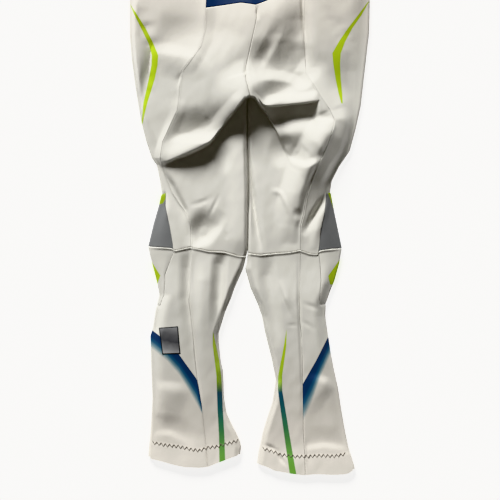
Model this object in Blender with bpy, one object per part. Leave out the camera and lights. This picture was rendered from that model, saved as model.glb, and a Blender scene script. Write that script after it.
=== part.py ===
"""Ski race suit, one piece, laid flat with its back up.

Two layers of cloth share one plan outline and join in a bend at its edges.
The plan is drawn in units of 1.85 mm, x to the right and y down the legs, with the
crotch at (250, 96). Every row of the cloth runs across the body or a leg.
"""
import math

import bpy
import numpy as np

# Sizes in millimetres
UNIT = 1.85
CROTCH = (250.0, 96.0)
CLOTH = 1.2
BEND = 4.0
SEAM_GAP = 0.17
ZIP_HALF = 8.0
COLLAR_HEIGHT = 60.0
CUFF_WIDTH = 96.0
EDGE_FADE = 22.0
PATCH_THICK = 0.8
PATCH_LIFT = 0.5
TENT_HEIGHT = 6.0
SLIDER_WIDTH = 11.0
SLIDER_LENGTH = 15.0
SLIDER_THICK = 1.2
LUG_WIDTH = 1.5
LUG_LENGTH = 3.2
PIN_RADIUS = 0.6
EYE_HOLE = 0.68
EYE_RADIUS = 1.6
EYE_SIDES = 16
TAB_WIDTH = 7.0
TAB_LENGTH = 26.0
TAB_THICK = 1.4
PLAY = 0.3
CUFF_TIP = (618.0, 219.0)

# Plan places of the upper body
UNDERARM = (130.0, -136.4)
SHOULDER_TIP = (139.2, -245.6)
NECK_POINT = (200.3, -267.2)
BACK_NECK_DIP = 7.0
FRONT_NECK_DIP = 22.0
ZIP_START = 0.0
SLIDER_AT = -283.0

# Outer and inner edges, as (y, x)
LEFT_EDGE = [(-137, 130), (-90, 139), (-40, 133), (0, 130), (35, 130), (60, 132), (90, 136),
             (120, 141), (140, 146), (158, 152), (165, 157), (180, 160), (193, 162), (206, 159),
             (223, 154), (246.5, 148.4), (254.5, 150), (266, 153), (281, 157), (295, 159.6),
             (309, 156), (328, 153), (336, 150.6), (370, 151.5), (398, 152.6), (430, 151),
             (453, 149), (470, 149)]
RIGHT_EDGE = [(-137, 370), (-90, 361), (-40, 367), (0, 369.6), (33, 368.8), (70, 364.6),
              (106, 360.5), (129, 355.5), (151, 349.5), (166.5, 339), (181, 331.5), (191, 330),
              (212, 334), (248, 341.5), (263, 339), (281, 334), (288, 331), (303, 325.6),
              (316, 325), (330, 327), (350, 330), (370, 333.9), (387, 337.7), (409, 341),
              (430, 344.7), (446, 348), (466, 353.9), (476, 355)]
LEFT_INNER = [(96, 250), (96.8, 248.7), (98.5, 247.9), (104, 247.4), (120, 247), (150, 246.8),
              (225, 246.6), (253, 246.4), (262, 244.8), (269, 242.8), (289, 234), (298, 231),
              (312, 225), (333, 218.6), (341, 218.6), (361, 220.7), (370, 222.8), (398, 224),
              (412, 226.3), (422.6, 231), (432, 236), (440, 239.6), (447, 240.7), (454, 239.6),
              (470, 239)]
RIGHT_INNER = [(96, 250), (96.8, 251.1), (98.5, 251.1), (104, 249.9), (120, 249.2), (150, 248.9),
               (225, 248.7), (253, 248.7), (262, 247.2), (269, 245.4), (271, 246), (287.5, 250.5),
               (303, 257.5), (316, 262), (330, 264.6), (344, 268), (358, 271.6), (375, 275),
               (380, 275.8), (402, 272.5), (419, 266.8), (433, 262.6), (451, 259), (463, 257.3),
               (476, 256)]
CENTRE_BACK = [(-220, 250), (-90, 250), (6, 256), (18, 257), (50, 250), (68, 246), (80, 246),
               (96, 250)]

# Back leg seams, as (y, x), and the side seams as (y, distance in from the outer edge)
LEFT_PRINCESS = [(-220, 200.3), (-137, 203), (-90, 210), (0, 206.3), (8, 206), (30, 205),
                 (48, 200), (62, 190), (72, 182), (111, 178), (142, 163), (158, 160.5),
                 (166, 162.2), (177, 165.5), (193, 172), (205, 180), (214, 187), (224, 190.5),
                 (247, 191.3), (280, 191), (301, 189), (316, 191), (333, 193), (354, 194.7),
                 (380, 197.5), (405, 201.8), (426, 204), (444, 206), (470, 208)]
RIGHT_PRINCESS = [(-220, 299.7), (-137, 297), (-90, 290), (0, 304), (40, 304), (74, 306),
                  (100, 322), (120, 329), (150, 325), (165, 319.6), (182, 312), (199, 307),
                  (215, 303.5), (226.5, 300.4), (248, 300.4), (270, 300), (305, 299.6),
                  (319, 299.6), (340, 301.8), (380, 302.5), (412, 303), (433, 303.3),
                  (454, 304.7), (476, 305.4)]
LEFT_SIDE = [(-220, 6), (140, 5), (158, 3.2), (191, 3.6), (206, 6.5), (226, 16.5), (246, 24.6),
             (253, 24), (275, 9.7), (300, 3.4), (476, 3.4)]
RIGHT_SIDE = [(-220, 6), (150, 6), (191, 3.6), (211, 9), (230, 17), (249, 22.6), (254, 22),
              (287, 11), (312, 3.4), (476, 3.4)]

# Cross rows, as (x, y)
SHOULDER_ROW = [(139.2, -245.6), (200.3, -267.2)]
WAIST_ROW = [(130, 8), (206, 9), (241, 4), (256, 6), (272, 0), (304, -3), (370, -3)]
LIP_ROW = [(128, 168), (140, 166.5), (157, 163.5), (165, 161.5), (175, 158), (189, 153.5),
           (203, 147), (210, 142.5), (214, 137), (224, 124), (238, 106.5), (244, 98.5),
           (250, 96), (255.5, 98), (259, 104), (265, 111), (271, 121), (277, 131), (283, 144),
           (290, 153), (305, 160), (325, 163), (345, 163), (372, 163)]
LEFT_KNEE_ROW = [(140, 246), (148.4, 246.5), (172, 248), (175, 250.4), (190.5, 247),
                 (209, 251), (224, 251.8), (238, 255.7), (248, 256.4)]
RIGHT_KNEE_ROW = [(248.4, 253.3), (260.7, 254.8), (274.4, 253.3), (289.7, 252), (300, 250),
                  (309, 253.3), (317.3, 254), (319, 250.5), (331.8, 248.7), (345, 248)]
LEFT_HEM_ROW = [(148, 455), (150.5, 458.5), (161, 461), (174, 464.7), (184, 466.8), (200, 467.5),
                (208.5, 466.5), (219.5, 462), (238, 455), (241, 453)]
RIGHT_HEM_ROW = [(257.3, 463.3), (267.5, 467), (274.6, 470.4), (289, 473), (303, 475),
                 (317, 474), (334, 474.6), (347, 474), (353, 470), (356, 467)]

# Width of the drop under the seat, in plan units across x
LIP_WIDTH = [(128, 14), (150, 12), (162, 8), (176, 6), (205, 5), (272, 5.5), (282, 8), (292, 14),
             (310, 26), (345, 20)]

# Swells of the seat: centre x, centre y, half width, half length, rise in millimetres
SEAT_SWELLS = [
    (212, 96, 66, 70, 22), (282, 104, 62, 60, 19), (248, 44, 50, 70, 12),
    (250, 100, 34, 34, 16), (283, 46, 24, 36, -9), (305, 131, 34, 18, 6),
]
# Great folds: crest points (x, y, rise in millimetres), reach to the left and to the right of
# the way the crest runs, in millimetres
SEAT_FOLDS = [
    ([(174, 122, 0), (186, 121, -10), (200, 121, -13), (216, 120, -9), (232, 110, -3),
      (240, 102, 0)], 22, 28),
    ([(163, 160, 2), (180, 153, 10), (197, 146, 12), (210, 139, 9), (216, 132, 4),
      (224, 124, 0)], 34, 20),
    ([(150, 58, 0), (164, 56, 5), (180, 58, 7), (192, 60, 5), (202, 52, 0)], 16, 46),
    ([(258, 104, 0), (266, 103, 7), (286, 101, 11), (305, 98, 10), (318, 97, 3), (328, 97, 0)],
     20, 10),
    ([(260, 113, 0), (270, 112, -15), (290, 111, -18), (310, 109, -14), (321, 107, 0)], 11, 20),
]
LEG_FOLDS = [
    ([(158, 168, -3), (172, 186, -6), (184, 210, -6), (190, 236, -4), (191, 252, 0)], 12, 26),
    ([(330, 130, -4), (326, 152, -8), (316.5, 171, -8), (309, 194, -7), (303.5, 213, -6),
      (300, 228, -3), (299.5, 250, 0)], 12, 28),
    ([(223, 250, 0), (217, 266, -5), (214, 282, -6), (215, 310, -6), (218, 334, -3),
      (221, 345, 0)], 20, 16),
    ([(190, 250, 0), (189, 275, -4), (189, 298, -4), (192, 326, -4), (197, 369, -2),
      (202, 400, 0)], 14, 18),
]
# Corners of the calf patch
PATCH = [(162.5, 354), (180.7, 353.5), (178.2, 326), (159, 327.5)]
PATCH_GRID = (6, 8)
THIGH_BASE = 6.0
CALF_BASE = 5.0

# Shares of the way between key rows
ARC = [-90.0, -45.0, 0.0, 45.0, 90.0]
LIP_STEPS = [0.34, 0.68, 1.0]
THIGH_STEPS = [0.06, 0.13, 0.205, 0.3, 0.4, 0.5, 0.6, 0.7, 0.8, 0.9, 1.0]
CALF_STEPS = [0.05, 0.11, 0.17, 0.23, 0.3, 0.38, 0.46, 0.54, 0.62, 0.7, 0.78, 0.86, 0.93, 1.0]
SEAT_STEPS = [0.035, 0.09, 0.16, 0.23, 0.3, 0.38, 0.47, 0.57, 0.68, 0.8, 0.9, 1.0]
WAIST_STEPS = [0.12, 0.28, 0.46, 0.64, 0.82, 1.0]
CHEST_STEPS = [0.16, 0.33, 0.5, 0.67, 0.84, 1.0]
SLEEVE_STEPS = [0.05, 0.13, 0.22, 0.32, 0.43, 0.55, 0.67, 0.78, 0.89, 1.0]
KNEE_TOP_STEP = 2
SIDE_LOW_STEP = 3
EDGE_COLUMNS = 2
SIDE_COLUMNS = 4
BACK_COLUMNS = 7
UNDER_COLUMNS = 2
COLLAR_STEPS = [0.2, 0.4, 0.6, 0.8, 1.0]

COLOURS = {
    "white": (0.80, 0.78, 0.74), "grey": (0.21, 0.21, 0.22), "navy": (0.012, 0.035, 0.11),
    "silver": (0.45, 0.46, 0.48), "black": (0.02, 0.02, 0.022), "metal": (0.35, 0.36, 0.38),
}


def pick(table, at):
    """Value of a (place, value) table at one or many places."""
    places, values = zip(*table)
    return np.interp(at, places, values)


def smooth(t):
    t = np.clip(t, 0.0, 1.0)
    return t * t * (3.0 - 2.0 * t)


def swell(x, y, centre_x, centre_y, half_x, half_y, rise):
    away = ((x - centre_x) / half_x) ** 2 + ((y - centre_y) / half_y) ** 2
    return rise * np.clip(1.0 - away, 0.0, 1.0) ** 2


def fold(x, y, crest, reach_left, reach_right):
    """Height of a soft fold along its crest line."""
    best = np.full(np.shape(x), 1e9)
    side = np.ones(np.shape(x))
    rise = np.zeros(np.shape(x))
    for (x1, y1, r1), (x2, y2, r2) in zip(crest[:-1], crest[1:]):
        dx, dy = x2 - x1, y2 - y1
        share = np.clip(((x - x1) * dx + (y - y1) * dy) / (dx * dx + dy * dy), 0.0, 1.0)
        off_x, off_y = x - x1 - dx * share, y - y1 - dy * share
        away = np.hypot(off_x, off_y)
        nearer = away < best
        best = np.where(nearer, away, best)
        side = np.where(nearer, dy * off_x - dx * off_y, side)
        rise = np.where(nearer, r1 + (r2 - r1) * share, rise)
    reach = np.where(side > 0.0, reach_left, reach_right) / UNIT
    return rise * (1.0 - np.clip(best / reach, 0.0, 1.0) ** 2) ** 2


def relief(x, y):
    """Rise of the upper layer over its flat lie, in millimetres."""
    seat = 8.0 * smooth((y + 60.0) / 80.0) + sum(swell(x, y, *row) for row in SEAT_SWELLS)
    seat = seat + sum(fold(x, y, *row) for row in SEAT_FOLDS)
    thigh = THIGH_BASE + (CALF_BASE - THIGH_BASE) * smooth((y - 230.0) / 40.0)
    thigh = thigh * (1.0 - 0.5 * smooth((y - 400.0) / 60.0))
    on_seat = smooth((pick(LIP_ROW, x) - y) / pick(LIP_WIDTH, x) + 1.0)
    whole = thigh * (1.0 - on_seat) + seat * on_seat
    whole = whole + sum(fold(x, y, *row) for row in LEG_FOLDS)
    return np.maximum(whole, 0.0)


def tent(x, y):
    """Lift of both layers over the zip slider."""
    away = np.hypot((x - 250.0) / 22.0, (y - SLIDER_AT - 7.0) / 28.0)
    return TENT_HEIGHT * smooth((1.0 - away) / 0.55)


class Side:
    """One side of the suit, with its plan tables."""

    def __init__(self, name, sign, edge, inner, princess, side, knee, hem):
        self.name = name
        self.sign = sign
        self.edge = edge
        self.inner = inner
        self.princess = princess
        self.side = side
        self.knee = knee
        self.hem = hem


SIDES = [
    Side("left", -1.0, LEFT_EDGE, LEFT_INNER, LEFT_PRINCESS, LEFT_SIDE, LEFT_KNEE_ROW,
         LEFT_HEM_ROW),
    Side("right", 1.0, RIGHT_EDGE, RIGHT_INNER, RIGHT_PRINCESS, RIGHT_SIDE, RIGHT_KNEE_ROW,
         RIGHT_HEM_ROW),
]


def settle(row, column, start):
    """Plan point where a cross row meets a lengthwise column."""
    x = start
    for _ in range(400):
        before = x
        x = 0.5 * x + 0.5 * column(row(x))
        if abs(x - before) < 1e-7:
            break
    return x, row(x)


def height(side, x, y, leg):
    """Middle height of the upper layer at a plan point."""
    outer = (x - pick(side.edge, y)) * -side.sign * UNIT
    fade = smooth(outer / EDGE_FADE)
    if leg:
        inner = (x - pick(side.inner, y)) * side.sign * UNIT
        lip = (y - pick(LIP_ROW, x)) * UNIT
        near = smooth(inner / 16.0)
        fade = fade * (near + (1.0 - near) * (1.0 - smooth((lip - 1.0) / 8.0)))
    return CLOTH / 2 + 2 * BEND + relief(x, y) * fade + tent(x, y)


def place(x, y, z):
    return ((x - CROTCH[0]) * UNIT, (CROTCH[1] - y) * UNIT, z)


def columns_at(side, leg, top):
    """Column functions of y, from the outer edge to the centre or the inner edge."""
    bend = BEND / UNIT
    shift = -side.sign

    def outer(y):
        return pick(side.edge, y) + shift * bend

    def side_seam(y):
        return pick(side.edge, y) + shift * pick(side.side, y)

    def princess(y):
        return pick(side.princess, y)

    def end(y):
        if leg:
            lip = max(0.0, min(1.0, (y - 96.0) / 5.0))
            return pick(side.inner, y) - shift * bend * lip
        if top:
            return pick(CENTRE_BACK, y)
        return CROTCH[0]

    def zip_line(y):
        return end(y) - shift * (ZIP_HALF / UNIT)

    def quarter(y):
        return outer(y) + 0.72 * (zip_line(y) - outer(y))

    if top:
        lines = [(outer, side_seam, EDGE_COLUMNS), (side_seam, princess, SIDE_COLUMNS),
                 (princess, end, BACK_COLUMNS)]
    else:
        lines = [(outer, quarter, UNDER_COLUMNS), (quarter, zip_line, UNDER_COLUMNS),
                 (zip_line, end, 1)]
    found = [outer]
    for first, last, count in lines:
        for step in range(1, count + 1):
            share = step / count
            found.append(lambda y, a=first, b=last, s=share: a(y) + s * (b(y) - a(y)))
    return found


def bend_points(x, y, z_top, toward_x, toward_y, reach):
    """Points round an edge bend, from under to over, toward the cloth."""
    found = []
    half = (z_top - CLOTH / 2) / 2
    for angle in ARC:
        turn = math.radians(angle)
        inward = reach * (1.0 - math.cos(turn)) / UNIT
        z = CLOTH / 2 + half * (1.0 + math.sin(turn))
        found.append(place(x + toward_x * inward, y + toward_y * inward, z))
    return found


def side_row(side, row, leg):
    """One cross row: outer bend, upper layer, inner bend if a leg, lower layer."""
    shift = -side.sign
    upper = []
    for column in columns_at(side, leg, True):
        x, y = settle(row, column, column(row(CROTCH[0])))
        upper.append((x, y, height(side, x, y, leg)))
    lower = []
    for column in columns_at(side, leg, False):
        x, y = settle(row, column, column(row(CROTCH[0])))
        lower.append((x, y, CLOTH / 2 + tent(x, y)))
    edge_x, edge_y = settle(row, lambda y: pick(side.edge, y), upper[0][0])
    outer = bend_points(edge_x, edge_y, upper[0][2], shift, 0.0, BEND)
    outer[0] = place(*lower[0])
    outer[-1] = place(*upper[0])
    points = outer + [place(*p) for p in upper[1:]]
    if leg:
        inner_x, inner_y = settle(row, lambda y: pick(side.inner, y), upper[-1][0])
        reach = abs(inner_x - upper[-1][0]) * UNIT
        inner = bend_points(inner_x, inner_y, upper[-1][2], -shift, 0.0, reach)
        points = points + inner[1:-1][::-1]
    points = points + [place(*p) for p in lower[::-1]]
    return points


class Cloth:
    """Middle surface of all the cloth, as labelled quads that share points."""

    def __init__(self):
        self.points = []
        self.known = {}
        self.quads = []

    def point(self, p):
        """Number of the point here, shared with any point within a hundredth of a millimetre."""
        cell = [math.floor(value / 0.02) for value in p]
        for dx in (0, -1, 1):
            for dy in (0, -1, 1):
                for dz in (0, -1, 1):
                    near = self.known.get((cell[0] + dx, cell[1] + dy, cell[2] + dz))
                    if near is not None and np.abs(self.points[near] - p).max() < 0.01:
                        return near
        self.known[tuple(cell)] = len(self.points)
        self.points.append(np.array(p, dtype=float))
        return len(self.points) - 1

    def strip(self, first, second, labels, flip):
        """Quads between two rows of points."""
        for at, label in enumerate(labels):
            corners = [first[at], first[at + 1], second[at + 1], second[at]]
            ids = [self.point(p) for p in corners]
            kept = [i for n, i in enumerate(ids) if i != ids[n - 1]]
            if len(kept) < 3:
                continue
            if flip:
                kept.reverse()
            self.quads.append((label, kept))

    def face(self, corners, label, flip):
        """One face with any number of corners."""
        ids = [self.point(p) for p in corners]
        if flip:
            ids = ids[:1] + ids[:0:-1]
        self.quads.append((label, ids))

    def normals(self):
        total = np.zeros((len(self.points), 3))
        for _, ids in self.quads:
            corners = [self.points[i] for i in ids]
            facing = sum(np.cross(corners[at - 1], corners[at]) for at in range(len(ids)))
            size = np.linalg.norm(facing)
            for at, i in enumerate(ids):
                before = corners[at - 1] - corners[at]
                after = corners[(at + 1) % len(ids)] - corners[at]
                cosine = before.dot(after) / (np.linalg.norm(before) * np.linalg.norm(after))
                total[i] += facing / size * math.acos(max(-1.0, min(1.0, cosine)))
        return total / np.linalg.norm(total, axis=1)[:, None]


def blend_row(first, last, share):
    """Row between two rows given as functions of x."""
    return lambda x: first(x) + share * (last(x) - first(x))


def leg_rows(side):
    """Row functions from the seat lip to the hem."""
    def lip(x):
        return pick(LIP_ROW, x)

    def low(x):
        return lip(x) + pick(LIP_WIDTH, x)

    def knee(x):
        return pick(side.knee, x)

    def hem(x):
        return pick(side.hem, x)

    rows = [lip]
    rows += [blend_row(lip, low, share) for share in LIP_STEPS]
    rows += [blend_row(low, knee, share) for share in THIGH_STEPS]
    rows += [blend_row(knee, hem, share) for share in CALF_STEPS]
    return rows


def body_rows():
    """Row functions from the seat lip up to the underarm."""
    def lip(x):
        return pick(LIP_ROW, x)

    def waist(x):
        return pick(WAIST_ROW, x)

    def underarm(x):
        return UNDERARM[1] + 0.0 * x

    rows = [lip]
    rows += [blend_row(lip, waist, share) for share in SEAT_STEPS]
    rows += [blend_row(waist, underarm, share) for share in WAIST_STEPS]
    return rows


def add_legs(cloth):
    bends = len(ARC) - 1
    for side in SIDES:
        rows = leg_rows(side)
        rings = [side_row(side, row, True) for row in rows]
        knee_top = len(LIP_STEPS) + KNEE_TOP_STEP + 1
        knee = len(LIP_STEPS) + len(THIGH_STEPS)
        for at in range(len(rows) - 1):
            name = side.name
            if at < knee:
                back, outer, front = "back_seat_" + name, "side_" + name, "front_" + name
                edge = outer if at < knee_top else "knee_" + name
                under = front if at < knee_top else "knee_" + name
            else:
                back, outer, front = "calf_inner_" + name, "calf_outer_" + name, "shin_" + name
                edge = front if at < knee + SIDE_LOW_STEP + 2 else outer
                under = front
            labels = [edge] * (bends + EDGE_COLUMNS) + [outer] * SIDE_COLUMNS
            labels += [back] * (BACK_COLUMNS + bends)
            labels += [front] * (UNDER_COLUMNS + 1) + [under] * UNDER_COLUMNS
            cloth.strip(rings[at], rings[at + 1], labels, side.sign < 0.0)


def add_body(cloth):
    """Body rows from the lip to the underarm, as two halves that meet on the centre lines."""
    bends = len(ARC) - 1
    last_rings = {}
    for side in SIDES:
        rows = body_rows()
        rings = [side_row(side, row, False) for row in rows]
        lip = side_row(side, rows[0], True)
        over = bends + 1 + EDGE_COLUMNS + SIDE_COLUMNS + BACK_COLUMNS
        rings[0] = lip[:over] + lip[over + bends - 1:]
        x = pick(side.edge, UNDERARM[1])
        top_z = CLOTH / 2 + 2 * BEND
        corner = bend_points(x, UNDERARM[1], top_z, -side.sign * 0.45, -0.9, BEND)
        rings[-1] = corner + rings[-1][bends + 1:-1] + corner[:1]
        for at in range(len(rows) - 1):
            back = "back_seat_" + side.name if at < len(SEAT_STEPS) else "back_upper"
            outer, front = "side_" + side.name, "front_" + side.name
            zipped = "zip_tape" if rows[at](CROTCH[0]) < ZIP_START else front
            upper = [outer] * (bends + EDGE_COLUMNS + SIDE_COLUMNS) + [back] * BACK_COLUMNS
            under = [zipped] + [front] * (2 * UNDER_COLUMNS)
            flip = side.sign > 0.0
            cloth.strip(rings[at][:over], rings[at + 1][:over], upper, flip)
            cloth.strip(rings[at][over:], rings[at + 1][over:], under, flip)
        last_rings[side.name] = rings[-1]
    return last_rings


def mirrored(side, x):
    return x if side.sign < 0.0 else 2.0 * CROTCH[0] - x


def chest_row(side, share, top):
    """One row of the upper body between the armhole and the centre."""
    bend = BEND / UNIT
    dip = BACK_NECK_DIP if top else FRONT_NECK_DIP
    low, tip, neck = UNDERARM, SHOULDER_TIP, NECK_POINT
    arm_x = low[0] + bend + share * (tip[0] - low[0] - bend)
    arm_x = arm_x + 9.0 * math.sin(math.pi * share) * (1.0 - 0.4 * share)
    princess = pick(LEFT_PRINCESS, low[1]) + share * (neck[0] - pick(LEFT_PRINCESS, low[1]))
    if top:
        blocks = [(arm_x, princess, EDGE_COLUMNS + SIDE_COLUMNS),
                  (princess, CROTCH[0], BACK_COLUMNS)]
    else:
        zip_x = CROTCH[0] - ZIP_HALF / UNIT
        blocks = [(arm_x, princess, UNDER_COLUMNS), (princess, zip_x, UNDER_COLUMNS),
                  (zip_x, CROTCH[0], 1)]
    xs = [arm_x]
    for first, last, count in blocks:
        xs += [first + step / count * (last - first) for step in range(1, count + 1)]
    points = []
    for x in xs:
        if x <= neck[0]:
            top_y = pick(SHOULDER_ROW, x) + bend
        else:
            across = (x - neck[0]) / (CROTCH[0] - neck[0])
            top_y = neck[1] + bend + dip * math.sin(across * math.pi / 2)
        y = low[1] + share * (top_y - low[1])
        z = CLOTH / 2 + tent(x, y)
        if top:
            z = z + 2 * BEND
        points.append(place(mirrored(side, x), y, z))
    return points


def add_chest(cloth, rings):
    """Upper body, shoulder seams, sleeves and collar."""
    bends = len(ARC) - 1
    split = 1 + bends + EDGE_COLUMNS + SIDE_COLUMNS + BACK_COLUMNS
    shoulder = EDGE_COLUMNS + SIDE_COLUMNS
    for side in SIDES:
        ring = rings[side.name]
        flip = side.sign > 0.0
        upper = [ring[bends:split]] + [chest_row(side, share, True) for share in CHEST_STEPS]
        lower = [ring[split:][::-1]] + [chest_row(side, share, False) for share in CHEST_STEPS]
        outer, front = "side_" + side.name, "front_" + side.name
        top_labels = [outer] * shoulder + ["back_upper"] * BACK_COLUMNS
        low_labels = [front] * (2 * UNDER_COLUMNS) + ["zip_tape"]
        last = len(CHEST_STEPS) - 1
        for at in range(len(CHEST_STEPS)):
            cloth.strip(upper[at], upper[at + 1], top_labels, flip)
            skip = UNDER_COLUMNS if at == last else 0
            cloth.strip(lower[at][skip:], lower[at + 1][skip:], low_labels[skip:], not flip)
        over = upper[-1][:shoulder + 1]
        bend_rows = [shoulder_bend(over, math.radians(angle)) for angle in ARC]
        for at in range(bends):
            cloth.strip(bend_rows[at + 1], bend_rows[at], [outer] * shoulder, flip)
        span = shoulder // UNDER_COLUMNS
        for block in range(UNDER_COLUMNS):
            fine = bend_rows[0][block * span:(block + 1) * span + 1]
            face = lower[-2][block:block + 2] + fine[::-1]
            cloth.face(face, front, not flip)
        add_sleeve(cloth, side, ring, upper, lower, bend_rows)
        add_collar(cloth, side, upper[-1][shoulder:], [row[-1] for row in bend_rows],
                   lower[-1][UNDER_COLUMNS:])


def shoulder_bend(over, turn):
    """Row of points round the shoulder seam at one turn of the bend."""
    found = []
    for x, y, z in over:
        half = (z - CLOTH / 2) / 2
        found.append((x, y + BEND * math.cos(turn), CLOTH / 2 + half * (1.0 + math.sin(turn))))
    return found


def flat_tube(low, tip, count, bow):
    """Ring of a flat tube between two edge points, with its middle bowed inward."""
    length = math.hypot(tip[0] - low[0], tip[1] - low[1])
    ux, uy = (tip[0] - low[0]) / length, (tip[1] - low[1]) / length
    over, under = [], []
    for at in range(count):
        along = BEND + (length - 2 * BEND) * at / (count - 1)
        x = low[0] + ux * along + bow * math.sin(math.pi * at / (count - 1))
        y = low[1] + uy * along
        over.append((x, y, CLOTH / 2 + 2 * BEND))
        under.append((x, y, CLOTH / 2))
    first, last = [], []
    for angle in ARC[1:-1]:
        turn = math.radians(angle)
        away = BEND * (1.0 - math.cos(turn))
        z = CLOTH / 2 + BEND * (1.0 + math.sin(turn))
        first.append((low[0] + ux * away, low[1] + uy * away, z))
        last.append((tip[0] - ux * away, tip[1] - uy * away, z))
    return [under[0]] + first + over + last[::-1] + under[::-1]


def add_sleeve(cloth, side, ring, upper, lower, bend_rows):
    """Sleeve from the armhole ring to the cuff."""
    bends = len(ARC) - 1
    over = [row[0] for row in upper]
    under = [row[0] for row in lower]
    rings = [ring[:bends] + over + [row[0] for row in bend_rows[1:-1]][::-1] + under[::-1]]
    low = place(mirrored(side, UNDERARM[0]), UNDERARM[1], 0.0)
    tip = place(mirrored(side, SHOULDER_TIP[0]), SHOULDER_TIP[1], 0.0)
    cuff_tip = (side.sign * CUFF_TIP[0], CUFF_TIP[1])
    cuff_low = (side.sign * (CUFF_TIP[0] - CUFF_WIDTH * 0.66), CUFF_TIP[1] - CUFF_WIDTH * 0.75)
    for share in SLEEVE_STEPS:
        near = [low[n] + share * (cuff_low[n] - low[n]) for n in range(2)]
        far = [tip[n] + share * (cuff_tip[n] - tip[n]) for n in range(2)]
        bow = -side.sign * 16.0 * max(0.0, 1.0 - share / 0.25)
        rings.append(flat_tube(near, far, len(over), bow))
    back, front = "sleeve_back_" + side.name, "sleeve_front_" + side.name
    labels = [back] * (bends + len(over) - 1 + bends) + [front] * (len(over) - 1)
    for at in range(len(rings) - 1):
        cloth.strip(rings[at], rings[at + 1], labels, side.sign > 0.0)


def add_collar(cloth, side, back, bend, front):
    """Half of the collar, standing on from the neck edge."""
    top_y = NECK_POINT[1] - COLLAR_HEIGHT / UNIT
    low = front[::-1]
    start = low + bend[1:-1] + back
    rows = [start]
    reach = BEND / UNIT
    for share in COLLAR_STEPS:
        edge = NECK_POINT[0] + 0.6 + 2.4 * share
        inner = edge + reach
        zip_x = CROTCH[0] - ZIP_HALF / UNIT
        plan = [CROTCH[0], zip_x, (zip_x + inner) / 2, inner]
        points = []
        for at, x in enumerate(plan):
            y = CROTCH[1] - low[at][1] / UNIT
            y = y + share * (top_y - y)
            points.append(place(mirrored(side, x), y, CLOTH / 2 + tent(x, y)))
        y = NECK_POINT[1] + share * (top_y - NECK_POINT[1])
        turn_way = -side.sign
        points += bend_points(mirrored(side, edge), y, CLOTH / 2 + 2 * BEND, turn_way, 0.0,
                              BEND)[1:-1]
        for at in range(BACK_COLUMNS + 1):
            x = inner + at / BACK_COLUMNS * (CROTCH[0] - inner)
            y = CROTCH[1] - back[at][1] / UNIT
            y = y + share * (top_y - y)
            points.append(place(mirrored(side, x), y, CLOTH / 2 + 2 * BEND + tent(x, y)))
        rows.append(points)
    labels = ["zip_tape"] + ["collar"] * (len(start) - 2)
    for at in range(len(rows) - 1):
        cloth.strip(rows[at], rows[at + 1], labels, side.sign > 0.0)


def panel_mesh(cloth, normals, label):
    """Closed solid of one panel, drawn in by half a seam gap at its edges."""
    faces = [ids for name, ids in cloth.quads if name == label]
    faces = [three for ids in faces for three in split_face(cloth.points, ids)]
    ways = set()
    for ids in faces:
        for at, i in enumerate(ids):
            ways.add((ids[at - 1], i))
    border = [(i, j) for i, j in sorted(ways) if (j, i) not in ways]
    pulls = {}
    for i, j in border:
        along = cloth.points[j] - cloth.points[i]
        inward = np.cross(normals[i] + normals[j], along)
        inward = inward / np.linalg.norm(inward)
        pulls.setdefault(i, []).append(inward)
        pulls.setdefault(j, []).append(inward)
    used = sorted({i for ids in faces for i in ids})
    order = {i: at for at, i in enumerate(used)}
    verts = []
    for way in (0.5, -0.5):
        for i in used:
            point = cloth.points[i] + normals[i] * CLOTH * way
            if i in pulls:
                first, last = pulls[i][0], pulls[i][-1]
                share = 1.0 / max(0.4, 1.0 + first.dot(last))
                point = point + (first + last) * share * SEAM_GAP
            point[2] = max(point[2], 0.0)
            verts.append(point)
    count = len(used)
    solid = [[order[i] for i in ids] for ids in faces]
    solid += [[order[i] + count for i in reversed(ids)] for ids in faces]
    for i, j in border:
        out_i, out_j, in_i, in_j = order[i], order[j], order[i] + count, order[j] + count
        if i < j:
            solid += [[out_j, out_i, in_j], [out_i, in_i, in_j]]
        else:
            solid += [[out_j, out_i, in_i], [out_j, in_i, in_j]]
    return verts, solid


def split_face(points, ids):
    """Triangles of one face, a quad along its shorter diagonal."""
    if len(ids) == 4:
        first = np.linalg.norm(points[ids[0]] - points[ids[2]])
        second = np.linalg.norm(points[ids[1]] - points[ids[3]])
        if second < first - 1e-6:
            ids = ids[1:] + ids[:1]
    return [[ids[0], ids[at], ids[at + 1]] for at in range(1, len(ids) - 1)]


def material(name):
    if name in bpy.data.materials:
        return bpy.data.materials[name]
    made = bpy.data.materials.new(name)
    made.use_nodes = True
    surface = made.node_tree.nodes["Principled BSDF"]
    surface.inputs["Base Color"].default_value = (*COLOURS[name], 1.0)
    surface.inputs["Roughness"].default_value = 0.3 if name == "metal" else 0.75
    surface.inputs["Metallic"].default_value = 1.0 if name == "metal" else 0.0
    return made


def add_object(name, verts, faces, colour, shift):
    mesh = bpy.data.meshes.new(name)
    points = [((x - shift[0]) / 1000.0, (y - shift[1]) / 1000.0, z / 1000.0)
              for x, y, z in verts]
    mesh.from_pydata(points, [], faces)
    mesh.materials.append(material(colour))
    mesh.validate()
    part = bpy.data.objects.new(name, mesh)
    bpy.context.scene.collection.objects.link(part)
    return part


def colour_of(label):
    if label.startswith("knee"):
        return "grey"
    if label == "back_upper":
        return "navy"
    if label == "zip_tape":
        return "black"
    return "white"


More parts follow.
